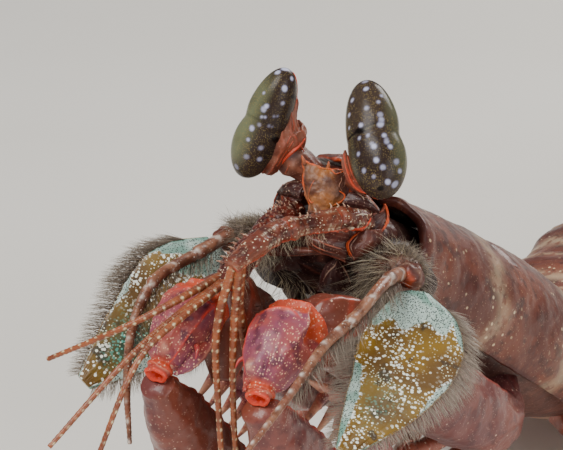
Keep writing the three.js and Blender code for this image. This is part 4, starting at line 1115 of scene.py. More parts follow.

# %% [markdown]
# ## The antennules
# A stem of three segments carries three long flagella. The segments bulge a little at each joint. A ridge
# along the underside is painted with a red glow, with a row of cream specks above it. Each flagellum is
# built of hundreds of short rings, and every few rings carry a pair of round cream spots.

# %% Antennules
ANTENNULES = {
    "left": {
        "stem": heads((3.5, -0.3, -1.75), (2.9, -3.1, -0.85), (2.15, -7.0, -0.2), (1.5, -11.1, 0.2),
                      (0.9, -15.8, -0.7)),
        "strands": [
            heads((0.8, -15.4, -0.75), (0.1, -16.6, -5.6), (0.2, -16.6, -12.0), (0.9, -16.8, -20.0)),
            heads((1.2, -15.2, -0.6), (1.0, -15.7, -5.6), (1.1, -16.0, -12.0), (1.3, -15.4, -20.5)),
            heads((1.2, -14.8, -0.6), (0.7, -14.3, -4.6), (0.7, -13.4, -9.4), (0.6, -12.4, -15.6)),
        ],
    },
    "right": {
        "stem": heads((-3.0, -0.2, -2.2), (-2.6, -4.5, -2.4), (-2.0, -9.2, -2.8), (-1.7, -12.6, -3.8)),
        "strands": [
            heads((-1.8, -12.0, -3.5), (-3.0, -17.0, -5.0), (-4.4, -20.7, -6.9), (-7.7, -26.8, -12.6)),
            heads((-2.1, -12.0, -3.3), (-3.7, -17.0, -4.3), (-5.9, -19.4, -5.6), (-12.0, -20.6, -9.0)),
            heads((-1.5, -12.2, -3.5), (-2.2, -17.4, -4.7), (-3.2, -21.6, -6.6), (-4.4, -26.4, -14.0)),
        ],
    },
}
STEM_GIRTH = {"left": 1.0, "right": 1.3}
FLAGELLUM_RADIUS = 0.29
RING_PITCH = 0.28  # length of one ring of a flagellum
SPOT_PITCH = 0.78  # distance between the pairs of cream spots
STEM_PROFILE = profile([(0.85, 0.9, 0.85), 0.85, (0.9, 0.88), 0.8, (0.82, 0.8), (0.85, 0.78), (0.62, 0.45)])
STEM_JOINTS = (0.3, 0.66)


# %% Antennule maker
def stem_relief(t, angle):
    joints = sum(bell(t, joint, 0.012) for joint in STEM_JOINTS)
    swell = sum(bell(t, joint - 0.035, 0.03) for joint in STEM_JOINTS)
    keel = stripe(angle, -0.85, 0.16) * 0.14
    lumps = 0.05 * np.sin(23 * t + 3 * angle) * np.sin(5 * angle - 31 * t)
    return -0.14 * joints + 0.12 * swell + keel + lumps - 0.1 * bell(t, 0.5, 0.1)


def stem_paint(t, angle, distance):
    keel = stripe(angle, -0.87, 0.1)
    joints = sum(bell(t, joint + 0.01, 0.007) for joint in STEM_JOINTS)
    bead = again(distance / 0.27 + 0.35 * np.sin(distance * 9), 0.5, 0.15)
    row = bell(angle, -0.58, 0.13) + 0.8 * bell(angle, -0.2, 0.12) + 0.6 * bell(angle, 1.1, 0.12)
    patches = held(np.sin(distance * 1.7) + 0.4)
    return bead * row * patches * 1.3, held(keel + 0.6 * joints), \
        0.35 * held(np.sin(angle + 0.4 * np.sin(distance)))


def strand_paint(t, angle, distance):
    step = np.mod(distance / SPOT_PITCH, 1.0)
    size = 0.18 + 0.05 * np.sin(distance * 3.1)
    turned = np.abs(np.mod(angle + 1.57, 2 * np.pi) - np.pi)
    spot = bell(step, 0.5, size) * (bell(turned, 2.2, 0.5) + bell(turned, 0.9, 0.5))
    gaps = again(distance / RING_PITCH, 0.0, 0.2)
    return held((spot - 0.35) * 2.4), 0.0, 0.35 * gaps


def antennule(tag):
    parts = ANTENNULES[tag]
    stem = limb("stem", parts["stem"], lambda t: STEM_PROFILE(t) * STEM_GIRTH[tag], sides=64, rings=220,
                relief=stem_relief, marks=stem_paint)
    roughen(stem, 0.7, 0.09)
    # Small spines stand on the stem. At its root is a dark, round dimple with a bright rim below it.
    path = along(parts["stem"])
    knobs = []
    for i in range(48 if tag == "right" else 12):
        t, angle = 0.05 + 0.85 * ((i * 0.618) % 1), 0.6 + 1.9 * ((i * 0.37) % 1)
        point, heading = path(t)
        side = square_to(heading, SIDEWAYS)
        out = side * math.cos(angle) + np.cross(heading, side) * math.sin(angle)
        root = point + out * (STEM_PROFILE(t)[0] * STEM_GIRTH[tag] - 0.05)
        knobs.append(limb("spine", [root, root + out * 0.2, root + out * 0.42 + heading * 0.2],
                          taper(0.1, 0.8, 0.01), v3(1, 0.1, 0), sides=8, rings=6,
                          marks=lambda t, angle, distance: (0.7 * t, 0.5 * t, 0)))
    if tag == "left":
        dimple = [(2.05, -2.33), (2.63, -2.36), (3.15, -2.3)]
        knobs.append(limb("dimple", [seen(right, up, 2.35) for right, up in dimple],
                          [0.05, (0.36, 0.3), 0.05], np.array(view_up), sides=24, rings=24,
                          marks=(0, 0, 1.0)))
        for places, radius, edge, pale in (
                ([(1.9, -2.95), (2.3, -2.98), (2.75, -2.85), (3.1, -2.5), (3.3, -2.1)], 0.1, 1.0, 0.0),
                ([(1.5, -2.85), (1.75, -2.93), (2.0, -2.87)], 0.14, 0.1, 0.8),
                ([(0.2, -3.15), (0.8, -3.1), (1.4, -2.95)], 0.07, 0.9, 0.1),
                ([(2.1, -1.95), (2.6, -1.85), (3.1, -1.9)], 0.05, 0.2, 0.6)):
            knobs.append(roll(stem, places, radius, edge, pale))
    pieces = [join_pieces("stem", [stem] + knobs)]
    for points in parts["strands"]:
        length = sum(np.linalg.norm(b - a) for a, b in zip(points, points[1:]))
        pieces.append(limb(
            "strand", points, lambda t: np.full(3, FLAGELLUM_RADIUS * (1.1 - 0.55 * t)), v3(1, 0.2, 0),
            sides=14, rings=int(length / RING_PITCH * 4), marks=strand_paint,
            relief=lambda t, angle: 0.03 * np.abs(np.sin(np.pi * t * length / RING_PITCH))))
    for strand in pieces[1:]:
        strand.data.materials.append(flagellum_cuticle)
    pieces[0].data.materials.append(stem_cuticle if tag == "left" else spiny_cuticle)
    return place_piece(join_pieces(f"antennule_skin_{tag}", pieces), [f"antennule_{tag}"])


for tag, sign in SIDES:
    print(antennule(tag).name)

# %% [markdown]
# ## The antennae
# Below each antennule an antenna starts from a stout, hairy base. Its whip has two longer segments and
# then many short ones, banded in white and red-brown, and it bends where the segments meet.

# %% Antennae
WHIPS = {
    "left": heads((7.4, -1.6, -4.8), (8.2, -5.8, -3.9), (8.5, -11.6, -4.9), (7.9, -14.6, -5.9),
                  (7.6, -19.0, -8.1), (6.6, -25.0, -11.6)),
    "right": heads((-7.4, -2.2, -4.2), (-8.2, -6.2, -4.8), (-9.0, -10.8, -5.6), (-9.5, -12.9, -8.4),
                   (-9.6, -13.8, -12.6), (-8.8, -14.8, -17.4)),
}
WHIP_PROFILE = profile([0.6, 0.47, 0.41, 0.35, 0.28, 0.15])
WHIP_JOINTS = (0.2, 0.43)


def antenna_base_path(sign):
    return along(heads((sign * 2.6, 1.6, -5.6), (sign * 5.2, 0.2, -5.6), (sign * 7.6, -1.6, -5.3)))


BASE_PROFILE = profile([1.7, (2.0, 1.9), (1.5, 1.4)])


def whip_relief(t, angle):
    joints = sum(bell(t, joint, 0.008) for joint in WHIP_JOINTS)
    rings = np.abs(np.sin(np.pi * t * 70)) * (t > WHIP_JOINTS[1])
    return -0.1 * joints + 0.09 * sum(bell(t, joint - 0.025, 0.02) for joint in WHIP_JOINTS) + 0.03 * rings


def whip_paint(t, angle, distance):
    bands = sum(bell(t + 0.01 * np.sin(3 * angle) + 0.004 * np.sin(7 * angle), place, width)
                for place, width in ((0.2, 0.012), (0.085, 0.012), (0.43, 0.01), (0.31, 0.005)))
    small = again(distance / 1.6, 0.5, 0.11) * bell(np.cos(angle), 0.2, 0.5)
    streaks = 0.35 * held(np.sin(5 * angle + 9 * t)) * again(t * 9, 0.5, 0.2)
    return held(bands * 0.6 + small * (t > 0.43) * 0.9), 0.0, \
        held(0.4 * again(distance / 0.34, 0.0, 0.18) * (t > 0.43) + streaks)


def antenna(tag, sign):
    base = limb("base", antenna_base_path(sign), BASE_PROFILE, v3(0, 1, 0), sides=56, rings=40,
                relief=lambda t, angle: 0.14 * np.sin(6 * angle + 8 * t) * np.sin(11 * t)
                - 0.3 * bell(t, 0.55, 0.04) + 0.12 * bell(t, 0.92, 0.06),
                marks=lambda t, angle, distance: (0.25 * bell(t, 0.9, 0.1), 0, 0.3 + 0.5 * held(1 - t)))
    # A round boss stands out where the scale starts.
    boss_place = head(sign * 8.0, -1.7, -4.9)
    boss = limb("boss", lambda t: (boss_place + v3(0, 1.9 * (0.5 - t), 0), v3(0, -1, 0)), ball(1.1, 1.0, 1.0),
                sides=40, rings=28, round_ends=True, relief=lambda t, angle: 0.08 * np.sin(5 * angle + 9 * t),
                marks=lambda t, angle, distance: (0.2 * bell(t, 0.6, 0.1), 0.35 * bell(t, 0.93, 0.06), 0.2))
    base = join_pieces("base", [base, boss])
    roughen(base, 0.8, 0.14)
    base.data.materials.append(head_cuticle)
    whip = limb("whip", WHIPS[tag], WHIP_PROFILE, v3(1, 0, 0.3), sides=26, rings=320, relief=whip_relief,
                marks=whip_paint)
    whip.data.materials.append(whip_cuticle)
    return place_piece(join_pieces(f"antenna_skin_{tag}", [base, whip]), [f"antenna_{tag}"])


for tag, sign in SIDES:
    print(antenna(tag, sign).name)

# %% [markdown]
# ## The antennal scales
# Beside each antenna stands a broad, thin, oval blade, the antennal scale. It is olive gold, scattered with
# clusters of round white specks. Its base and outer margin are almost covered in white dots, one patch near
# the tip is turquoise, and a pale tan line runs along the margin, from which a dense fringe of hair grows.

# %% Scale material
scale_finish, tree, place, whitened, edge, turquoise = new_material("scale_cuticle_olive")
tone = layer(tree, "#5f4007", "#80600f", cloud(tree, place, 1.8))
tone = layer(tree, tone, "#3f2a08", cloud(tree, place, 0.7, low=0.58, high=0.68))
# The white zones have a ragged edge, so a noise is added to their mask before it is cut.
uneven = add_node(tree, "ShaderNodeTexNoise", {"Vector": place, "Scale": NOISE_SCALE / 0.7, "Detail": 4.0})
ragged = add_node(tree, "ShaderNodeMath", {0: uneven.outputs["Fac"], 1: 0.9, 2: whitened},
                  operation="MULTIPLY_ADD")
zone = add_node(tree, "ShaderNodeMapRange", {"Value": ragged.outputs[0], "From Min": 0.86, "From Max": 1.02},
                interpolation_type="SMOOTHSTEP")
fringe_zone = add_node(tree, "ShaderNodeMapRange", {"Value": ragged.outputs[0], "From Min": 0.6,
                       "From Max": 0.85}, interpolation_type="SMOOTHSTEP")
tone = layer(tree, tone, "#1d4a41", turquoise)
tone = layer(tree, tone, "#62c2b0", dots(tree, place, 0.27, 0.1, 0.95), turquoise)
scattered = dots(tree, place, 0.34, 0.12, 0.85, soft=0.05)
tone = layer(tree, tone, "#f1f3e4", scattered, cloud(tree, place, 2.0, low=0.44, high=0.52))
small = dots(tree, place, 0.2, 0.058, 0.6)
tone = layer(tree, tone, "#e3e5c8", small, cloud(tree, place, 1.3, low=0.42, high=0.54))
tone = layer(tree, tone, "#e9f1ee", dots(tree, place, 0.24, 0.1, 0.95), fringe_zone.outputs["Result"])
tone = layer(tree, tone, "#b4c9bf", zone.outputs["Result"], 0.9)
tone = layer(tree, tone, "#6f9586", zone.outputs["Result"], cloud(tree, place, 1.6, low=0.42, high=0.6))
veins = dots(tree, place, 0.12, 0.044, 0.95, soft=0.1, stretch=(1.0, 0.6, 1.0))
tone = layer(tree, tone, "#1d2824", veins, zone.outputs["Result"])
tone = layer(tree, tone, "#c39a5f", edge)
fine = add_node(tree, "ShaderNodeTexNoise", {"Vector": place, "Scale": NOISE_SCALE / 0.2, "Detail": 3.0})
surface(tree, tone, fine.outputs["Fac"], 0.42, 0.2, 0.06, radius=(0.4, 0.3, 0.15), bump_depth=0.03)
print("scale finish ready")

# %% Antennal scales
SCALES = {
    "left": (heads((8.8, -2.6, -6.0), (10.4, -5.6, -8.0), (11.2, -9.8, -9.7), (11.5, -18.2, -12.0)),
             v3(0.94, 0, -0.34)),
    "right": (heads((-8.2, -2.6, -5.4), (-9.7, -5.0, -7.8), (-11.1, -8.0, -10.3), (-13.6, -13.7, -13.8)),
              v3(0.73, 0.1, -0.67)),
}
SCALE_PROFILE = profile([(1.3, 0.55), (3.2, 0.5), (3.9, 0.4), (3.7, 0.33), (2.6, 0.27), (0.7, 0.18)])


def scale_relief(t, angle):
    rib = 0.1 * bell(np.cos(angle), 0.55, 0.05) + 0.07 * bell(np.cos(angle), -0.2, 0.08)
    return (rib + 0.02 * np.sin(40 * np.cos(angle))) * np.abs(np.sin(angle))


def scale_blade(tag, sign):
    line_points, right = SCALES[tag]

    def paint(t, angle, distance):
        outer = np.cos(angle) * sign  # 1 at the outer margin, -1 at the inner one
        edge = ramp(np.abs(np.cos(angle)), 0.975, 0.012)
        base_zone = held((0.33 - t + 0.05 * np.sin(8 * angle)) / 0.14)
        outer_zone = 0.85 * held((outer - 0.84 - 0.1 * np.sin(17 * t)) / 0.2)
        low_zone = held((-outer - 0.55 - 0.12 * np.sin(13 * t)) / 0.4) * (t > 0.66)
        pale = held(np.maximum(np.maximum(base_zone, outer_zone), low_zone))
        patch = bell(t, 0.79, 0.09) * bell(outer, -0.1, 0.6) * (1.0 if sign < 0 else 0.25)
        patch = np.maximum(patch, 0.5 * bell(t, 0.12, 0.12) * (0.7 if sign > 0 else 0.2))
        return pale, edge * 0.8, held(patch)

    blade = limb(f"antennal_scale_skin_{tag}", line_points, SCALE_PROFILE, right, sides=120, rings=120,
                 relief=scale_relief, marks=paint)
    return finish(blade, scale_finish, [f"antennal_scale_{tag}"])


for tag, sign in SIDES:
    print(scale_blade(tag, sign).name)

# %% [markdown]
# ## The raptorial claws
# A claw folds like a jackknife. The stout merus runs forward and up from under the body. The carpus hangs
# from its end, and is the part that faces the camera: a coral saddle on top, a mauve face with a sharp
# ridge round it, an orange hollow on the outer side, and a tube-like joint at its lower end. The long
# propodus runs back from there, with a groove in its upper edge for the teeth of the striking finger.

# %% Claw places
CLAW = {"hip": (6.2, 17.6, -20.6), "knee": (8.4, 13.6, -22.4), "thigh": (7.6, 6.4, -18.4),
        "shin": (5.6, -3.4, -11.0), "elbow": (3.9, -10.5, -5.9), "wrist": (4.3, -18.0, -9.6),
        "heel": (5.6, 2.4, -31.6)}
HAND_UP = v3(0, 0.74, 0.67)
CLAW_TEETH = 9


def claw_places(sign, *names):
    return heads(*((sign * CLAW[name][0], *CLAW[name][1:]) for name in names))


# %% Merus
def merus(tag, sign):
    path = claw_places(sign, "hip", "knee", "thigh", "shin", "elbow")
    size = [1.8, (2.2, 2.4), (2.6, 3.2), (2.6, 3.1, 3.0), 2.1]

    def turned(angle):
        return np.mod(angle * sign + np.pi, 2 * np.pi) - np.pi

    def relief(t, angle):
        keels = 0.35 * bell(turned(angle), 0.9, 0.16) * (t > 0.35)
        lobes = 0.14 * np.sin(3 * angle + 5) * bell(t, 0.97, 0.08) - 0.9 * ramp(t, 0.95, 0.05) ** 2
        return keels + lobes + 0.1 * np.sin(6 * angle + 14 * t) * np.sin(17 * t) + 0.3 * bell(t, 0.9, 0.03)

    def paint(t, angle, distance):
        rim = bell(t, 0.93, 0.008) + bell(turned(angle), 0.9, 0.05) * (t > 0.35)
        return 0, held(rim * 0.5), 0.6 * ramp(t, 0.8, 0.1)
    pieces = [limb("merus", path, size, sides=84, rings=120, power=2.2, relief=relief, marks=paint)]
    roughen(pieces[0], 1.6, 0.14)
    if tag == "right":
        # Its inner edge widens into a smooth flap that fills the space between the claws.
        pieces.append(leaf("flap", [(-8.9, -6.6), (-9.4, -8.8), (-9.6, -10.8), (-9.4, -12.8), (-8.8, -14.6)],
                           [(-7.1, -6.6), (-6.5, -8.9), (-6.1, -10.6), (-6.2, -12.6), (-7.1, -14.5)],
                           (5.4, 5.0), 1.0, marks=lambda u, v: (
                               0.1 * bell(u, 0.3, 0.1), ramp(u, 0.95, 0.02) * 0.7,
                               0.75 + 0.25 * (1 - v))))
    return finish_side("claw_merus", tag, pieces, shaded_hand_cuticle)


# %% [markdown]
# The carpus is built from five pieces: its body with ridges, hollow and saddle, a thorn, a smooth wing
# with a knob, and the socket of the wrist. A socket opens when its end face is inset and sunk in steps.

# %% Carpus
def sink_end(piece, centre, out, steps):
    """Extrudes the faces of one end in steps, each scaled and moved, as for an open socket."""
    clear_selection()
    bpy.context.view_layer.objects.active = piece
    piece.select_set(True)
    bpy.ops.object.mode_set(mode="EDIT")
    bpy.ops.mesh.select_all(action="DESELECT")
    bpy.ops.object.mode_set(mode="OBJECT")
    for face in piece.data.polygons:
        reach = (np.array(face.center) / MM - centre) @ out
        face.select = bool(reach > -0.01 and np.array(face.normal) @ out > 0.8)
    bpy.ops.object.mode_set(mode="EDIT")
    for scale, move in steps:
        centre = centre + out * move
        bpy.ops.mesh.extrude_region_move(TRANSFORM_OT_translate={"value": tuple(out * move * MM)})
        bpy.ops.transform.resize(value=(scale, scale, scale), center_override=tuple(centre * MM))
    bpy.ops.object.mode_set(mode="OBJECT")


def carpus(tag, sign):
    elbow, wrist = claw_places(sign, "elbow", "wrist")
    out = unit(wrist - elbow)
    path = along([elbow + out * 0.6, (elbow + wrist) / 2 + v3(0, -0.3, 0.8), wrist - out * 0.6])
    slim = 0.95 if sign > 0 else 0.82  # the right claw is turned more edge-on
    size = profile([(1.9 * slim, 1.7, 1.9), (2.6 * slim, 2.3, 2.6), (2.5 * slim, 2.2, 2.6),
                    (1.95 * slim, 1.8, 2.0), (1.0, 1.0, 1.1)])

    def guides(t, angle):
        """The angle, mirrored on the right claw, and how the ridges wander along it."""
        return angle if sign > 0 else np.pi - angle, 0.12 * np.sin(9 * t + 1) + 0.04 * np.sin(31 * t)

    def relief(t, angle):
        flip, wander = guides(t, angle)
        ridge = 0.36 * stripe(flip, 1.02 - 0.5 * t + wander, 0.11) * bell(t, 0.36, 0.26)
        inner_ridge = 0.3 * stripe(flip, 2.6, 0.1) * bell(t, 0.42, 0.36)
        hollow = -1.05 * stripe(flip, 0.42 - 0.3 * t + wander, 0.3) * bell(t, 0.3, 0.15)
        flange = 0.5 * stripe(flip, -0.25 + wander, 0.16) * bell(t, 0.32, 0.2)
        saddle = -0.45 * bell(t, 0.17, 0.07) * stripe(flip, 1.75, 0.6)
        collar = 0.34 * bell(t, 0.07, 0.045) \
            + 0.26 * bell(t + 0.02 * np.sin(5 * flip), 0.31, 0.022) * stripe(flip, 1.8, 0.75)
        bulge = 0.5 * bell(t, 0.84, 0.07) * stripe(flip, 1.9, 0.35)
        furrow = -0.3 * bell(t, 0.8, 0.1) * stripe(flip, 1.35, 0.14)
        waist = -0.3 * bell(t, 0.94, 0.03)
        fine = 0.03 * np.sin(9 * angle + 21 * t) * np.sin(7 * angle - 17 * t)
        return ridge + inner_ridge + hollow + flange + saddle + collar + bulge + furrow + waist + fine

    def paint(t, angle, distance):
        flip, wander = guides(t, angle)
        top = held((0.3 + 0.03 * np.sin(5 * flip) - t) / 0.03)
        rims = stripe(flip, 2.6, 0.05) \
            + bell(t + 0.02 * np.sin(5 * flip), 0.315, 0.01) * stripe(flip, 1.8, 0.9) \
            + bell(t, 0.07, 0.012)
        hollow = stripe(flip, 0.42 - 0.3 * t + wander, 0.3) * bell(t, 0.3, 0.17)
        flange = stripe(flip, -0.25 + wander, 0.07) * bell(t, 0.32, 0.22)
        # The pale patch on the low bulge is a painted highlight.
        pale = 0.5 * bell(t, 0.84, 0.05) * stripe(flip, 1.9, 0.2) \
            + 0.35 * stripe(flip, 1.02 - 0.5 * t + wander, 0.03) * bell(t, 0.3, 0.2)
        low = ramp(t, 0.9, 0.05) * 0.8
        return pale, held(rims + flange), held(0.8 * top + hollow + low)

    body = limb("body", path, size, sides=128, rings=128, power=2.2, relief=relief, marks=paint)
    roughen(body, 1.6, 0.1)
    thorn_root = (elbow * 0.42 + wrist * 0.58) + v3(-sign * 2.0, -0.9, 0.4)
    thorn = limb("thorn", [thorn_root, thorn_root + v3(-sign * 0.35, -0.5, -0.15),
                           thorn_root + v3(-sign * 0.45, -0.9, -0.6)], taper(0.22, 0.8, 0.02), v3(0, 0, 1),
                 sides=12, rings=12, marks=(0, 0.35, 0.2))

    # On the inner side hangs a smooth wing, with a knob where it starts.
    def wing(u, v):
        start = elbow * 0.72 + wrist * 0.28 + v3(-sign * 1.5, -0.5, 0.3)
        end = elbow * 0.14 + wrist * 0.86 + v3(-sign * 1.3, -0.3, -0.4)
        rows = []
        for a, b in zip(u, v):
            spread = 0.95 * math.sin(math.pi * min(b * 0.9 + 0.12, 1)) ** 0.7
            away = v3(-sign * a * spread, 0.12 * math.sin(9 * b), -0.75 * a * spread)
            rows.append(start * (1 - b) + end * b + away + v3(0, -0.3 * math.sin(math.pi * a), 0))
        return np.array(rows)
    wing_piece = plate("wing", wing, 18, 48, 0.3, marks=lambda u, v: (
        0.35 * bell(u, 0.9, 0.06), 0.35 * bell(v, 0.03, 0.05), 0.15 * bell(u, 0.4, 0.3)))
    roughen(wing_piece, 1.0, 0.06)
    knob_place = elbow * 0.76 + wrist * 0.24 + v3(-sign * 1.9, -0.7, 0.1)
    knob = limb("knob", lambda t: (knob_place + out * (t - 0.5) * 1.1, out), ball(0.5, 0.5, 0.5), sides=20,
                rings=16, round_ends=True, marks=lambda t, angle, distance: (0, 0.4 * t, 0.3))
    # The socket of the wrist is a short tube.
    socket = limb("socket", [wrist + out * -1.9, wrist + out * -0.8, wrist + out * 0.1],
                  [1.0, (0.88, 0.86), (0.78, 0.74)], sides=48, rings=18,
                  relief=lambda t, angle: (0.12 * np.sin(2 * angle + 1) + 0.06 * np.sin(5 * angle)) * t
                  + 0.1 * bell(t, 0.9, 0.07),
                  marks=lambda t, angle, distance: (
                      0.75 * ramp(t, 0.85, -0.3) * held(np.sin(angle * 2) + 0.2),
                      ramp(t, 0.86, 0.08) * 0.8, 0.7 * t))
    sink_end(socket, wrist + out * 0.1, out, ((0.8, 0.0), (0.85, -0.45), (0.7, -0.35)))
    return finish_side("claw_carpus", tag, [body, thorn, wing_piece, knob, socket], claw_cuticle)


# %% [markdown]
# The propodus is a long hand. A groove runs along its upper edge, with a comb beside it.

# %% Propodus
def propodus(tag, sign):
    wrist, heel = claw_places(sign, "wrist", "heel")
    path = along([wrist + v3(0, 0.2, -0.8), wrist * 0.7 + heel * 0.3 + v3(0, -0.8, -0.8),
                  wrist * 0.3 + heel * 0.7 + v3(0, -0.5, -0.5), heel])
    size = profile([1.2, (2.0, 2.3, 2.4), (2.35, 2.9, 3.0), (2.35, 2.9, 3.0), (2.25, 2.7), (1.9, 2.2),
                    (0.9, 1.0)])
    # The path's "up" looks away from the finger, so the groove lies where the sine is near -1 or 1.
    _, heading = path(0.5)
    side = square_to(heading, -SIDEWAYS)
    up_sign = 1 if np.dot(np.cross(heading, side), HAND_UP) > 0 else -1

    def relief(t, angle):
        above = np.sin(angle) * up_sign
        groove = -1.5 * ramp(above, 0.86, 0.14) * ramp(t, 0.08, 0.06) * ramp(t, 0.93, -0.06)
        comb = 0.16 * bell(above, 0.82, 0.05) * np.abs(np.sin(60 * t))
        return groove + comb + 0.06 * np.sin(5 * angle + 17 * t) * np.sin(12 * t)

    def paint(t, angle, distance):
        above = np.sin(angle) * up_sign
        inner = held(np.cos(angle) * sign)
        return 0.0, 0.7 * bell(above, 0.8, 0.04), held(0.5 * ramp(above, 0.87, 0.1) + 0.7 * inner ** 0.7)
    piece = limb(f"claw_propodus_skin_{tag}", path, size, -SIDEWAYS, sides=96, rings=120, power=2.2,
                 relief=relief, marks=paint)
    roughen(piece, 1.8, 0.16)
    return finish(piece, shaded_hand_cuticle, [f"claw_propodus_{tag}"])


# %% [markdown]
# The dactyl is the striking finger, with a row of curved teeth that grow longer towards its tip.

# %% Dactyl
def dactyl(tag, sign):
    wrist, heel = claw_places(sign, "wrist", "heel")

    def at(share, above):
        return heel * (1 - share) + wrist * share + HAND_UP * above

    pieces = [limb("shaft", [at(0.03, 2.7), at(0.1, 4.0), at(0.35, 5.4), at(0.6, 5.7), at(0.84, 4.2)],
                   [(1.3, 1.2), (1.1, 1.2), (0.8, 1.0), (0.6, 0.8), 0.05], sides=40, rings=70,
                   relief=lambda t, angle: 0.08 * np.sin(4 * angle + 9 * t) * (1 - t),
                   marks=lambda t, angle, distance: (0.6 * ramp(t, 0.75, 0.2), 0, 0.3 * held(1 - 2 * t)))]
    for i in range(CLAW_TEETH - 1):
        order = i / (CLAW_TEETH - 2)
        share = 0.2 + 0.52 * order
        height = 5.0 - 8 * (share - 0.5) ** 2
        root, tip = at(share, height), at(share + 0.05, height - 2.2 - 1.6 * order)
        middle = root * 0.45 + tip * 0.55 + v3(0, 0.25, 0)
        pieces.append(limb("tooth", [root, middle, tip], taper(0.45, 0.8, 0.01), sides=16, rings=16,
                           marks=lambda t, angle, distance: (0.85 * held(t * 1.6), 0, 0)))
    return finish_side("claw_dactyl", tag, pieces, claw_cuticle)


for tag, sign in SIDES:
    claw = [part(tag, sign) for part in (merus, carpus, propodus, dactyl)]
    print("claw", tag, sum(len(piece.data.polygons) for piece in claw), "faces")

# %% [markdown]
# ## Mouth and small maxillipeds
# Behind the claws lie the mouth with its slender feeding limbs, and three pairs of short maxillipeds. Each
# of these ends in a round hand with a folded finger, and they pass food forward.

# %% Mouth and maxillipeds
lip = limb("lip", heads((0, 3.6, -10.2), (0, 6.4, -14.2), (0, 9.6, -18.4)), [(1.4, 1.6), 2.4, (1.8, 2.0)],
           -SIDEWAYS, sides=48, rings=36, relief=lambda t, angle: 0.2 * np.sin(5 * angle) * np.sin(9 * t)
           - 0.5 * bell(t, 0.5, 0.05))
palps = []
for tag, sign in SIDES:
    path = heads((sign * 1.3, 7.2, -15.5), (sign * 1.6, 3.2, -17.0), (sign * 1.5, -0.6, -13.6),
                 (sign * 1.4, -3.4, -10.4))
    palps.append(limb("palp", path, [0.8, 0.7, 0.6, 0.25], sides=20, rings=60,
                      relief=lambda t, angle: -0.2 * again(t * 4, 0.5, 0.07)))
finish(join_pieces("mouthparts_skin", [lip] + palps), limb_cuticle, ["mouthparts"])


def maxilliped_places(order, sign):
    start = v3(3.4, 19.0 + 3.1 * order, -22.0 - 2.0 * order)
    end = v3(1.7, 9.4 + 2.4 * order, -23.0 - 3.3 * order)

    def place(share, lift):
        spot = start * (1 - share) + end * share
        return head(sign * spot[0], spot[1], spot[2] + lift)
    return place, unit((end - start) * v3(sign, 1, 1))


def maxilliped(order, tag, sign):
    place, heading = maxilliped_places(order, sign)
    arm = limb("arm", [place(-0.1, 0.6), place(0.3, -1.5), place(0.7, -0.9), place(1, 0)],
               [1.0, 0.75, 0.8, 0.7], sides=24, rings=60,
               relief=lambda t, angle: -0.22 * again(t * 3, 0.5, 0.05),
               marks=lambda t, angle, distance: (0, 0.5 * again(t * 3, 0.56, 0.05), 0))
    centre = place(1.12, 0)
    hand = limb("hand", lambda t: (centre + heading * (t - 0.5) * 3.8, heading), ball(0.8, 1.2, 1.2),
                sides=32, rings=28, round_ends=True,
                marks=lambda t, angle, distance: (0, 0.4 * bell(np.cos(angle), 0, 0.2), 0))
    finger = limb("finger", [centre + heading * 1.6 + v3(0, 0, 0.7), centre + v3(0, 0, 1.55),
                             centre - heading * 1.3 + v3(0, 0, 1.0)],
                  taper(0.3, 0.6, 0.02), sides=14, rings=24)
    return finish_side(f"maxilliped_{order + 3}", tag, [arm, hand, finger], limb_cuticle)


for tag, sign in SIDES:
    for order in range(3):
        maxilliped(order, tag, sign)
print("mouth and maxillipeds made")

# %% [markdown]
# ## The carapace
# The carapace is a loose shield over the head and the front of the body. It is open below, has a neck
# groove across it and two long grooves beside the middle, and its edge is rolled. The upper part of the
# body's rings, as an open grid, gives the sheet, and Solidify its wall.

# %% Carapace
CARAPACE_ROWS = profile([(12.6, 7.0, 6.0), (11.6, 7.4, 6.4), (9.4, 6.6, 6.0), (7.0, 4.6)])
CARAPACE_EDGE = 3.4  # how far its side edge hangs below the middle line
CARAPACE_WALL = 0.7
CARAPACE_POWER = 2.3


def carapace_surface(u, v):
    path = body_path("carapace_rear", 0.015, "carapace_front", 0.985)
    rows = []
    frames = {}
    for a, b in zip(u, v):
        key = round(float(b), 6)
        if key not in frames:
            point, heading = path(key)
            frames[key] = (point, np.cross(heading, SIDEWAYS), CARAPACE_ROWS(key))
        point, up, (wide, above, below) = frames[key]
        drop = -math.asin(min(CARAPACE_EDGE / below, 1.0) ** (CARAPACE_POWER / 2))
        angle = drop + (math.pi - 2 * drop) * float(a)
        across = math.cos(angle)
        x = squared(across, CARAPACE_POWER) * (wide - CARAPACE_WALL / 2)
        z = squared(math.sin(angle), CARAPACE_POWER) * ((above if angle > 0 and angle < math.pi else below)
                                                        - CARAPACE_WALL / 2)
        grooves = -0.3 * bell(abs(x), wide * (0.42 - 0.1 * key), 0.55) * (key > 0.12)
        neck = -0.35 * bell(key, 0.62 - 0.1 * (x / wide) ** 2, 0.018) * (abs(x) < wide * 0.8)
        roll = 0.16 * bell(key, 0.02, 0.03) + 0.14 * bell(key, 0.985, 0.02)
        rough = 0.05 * math.sin(x * 2.3 + 11 * key) * math.sin(23 * key - x)
        push = 1 + (grooves + neck + roll + rough) / max(math.hypot(x, z), 1)
        rows.append(point + v3(x * push, 0, 0) + up * z * push)
    return np.array(rows)


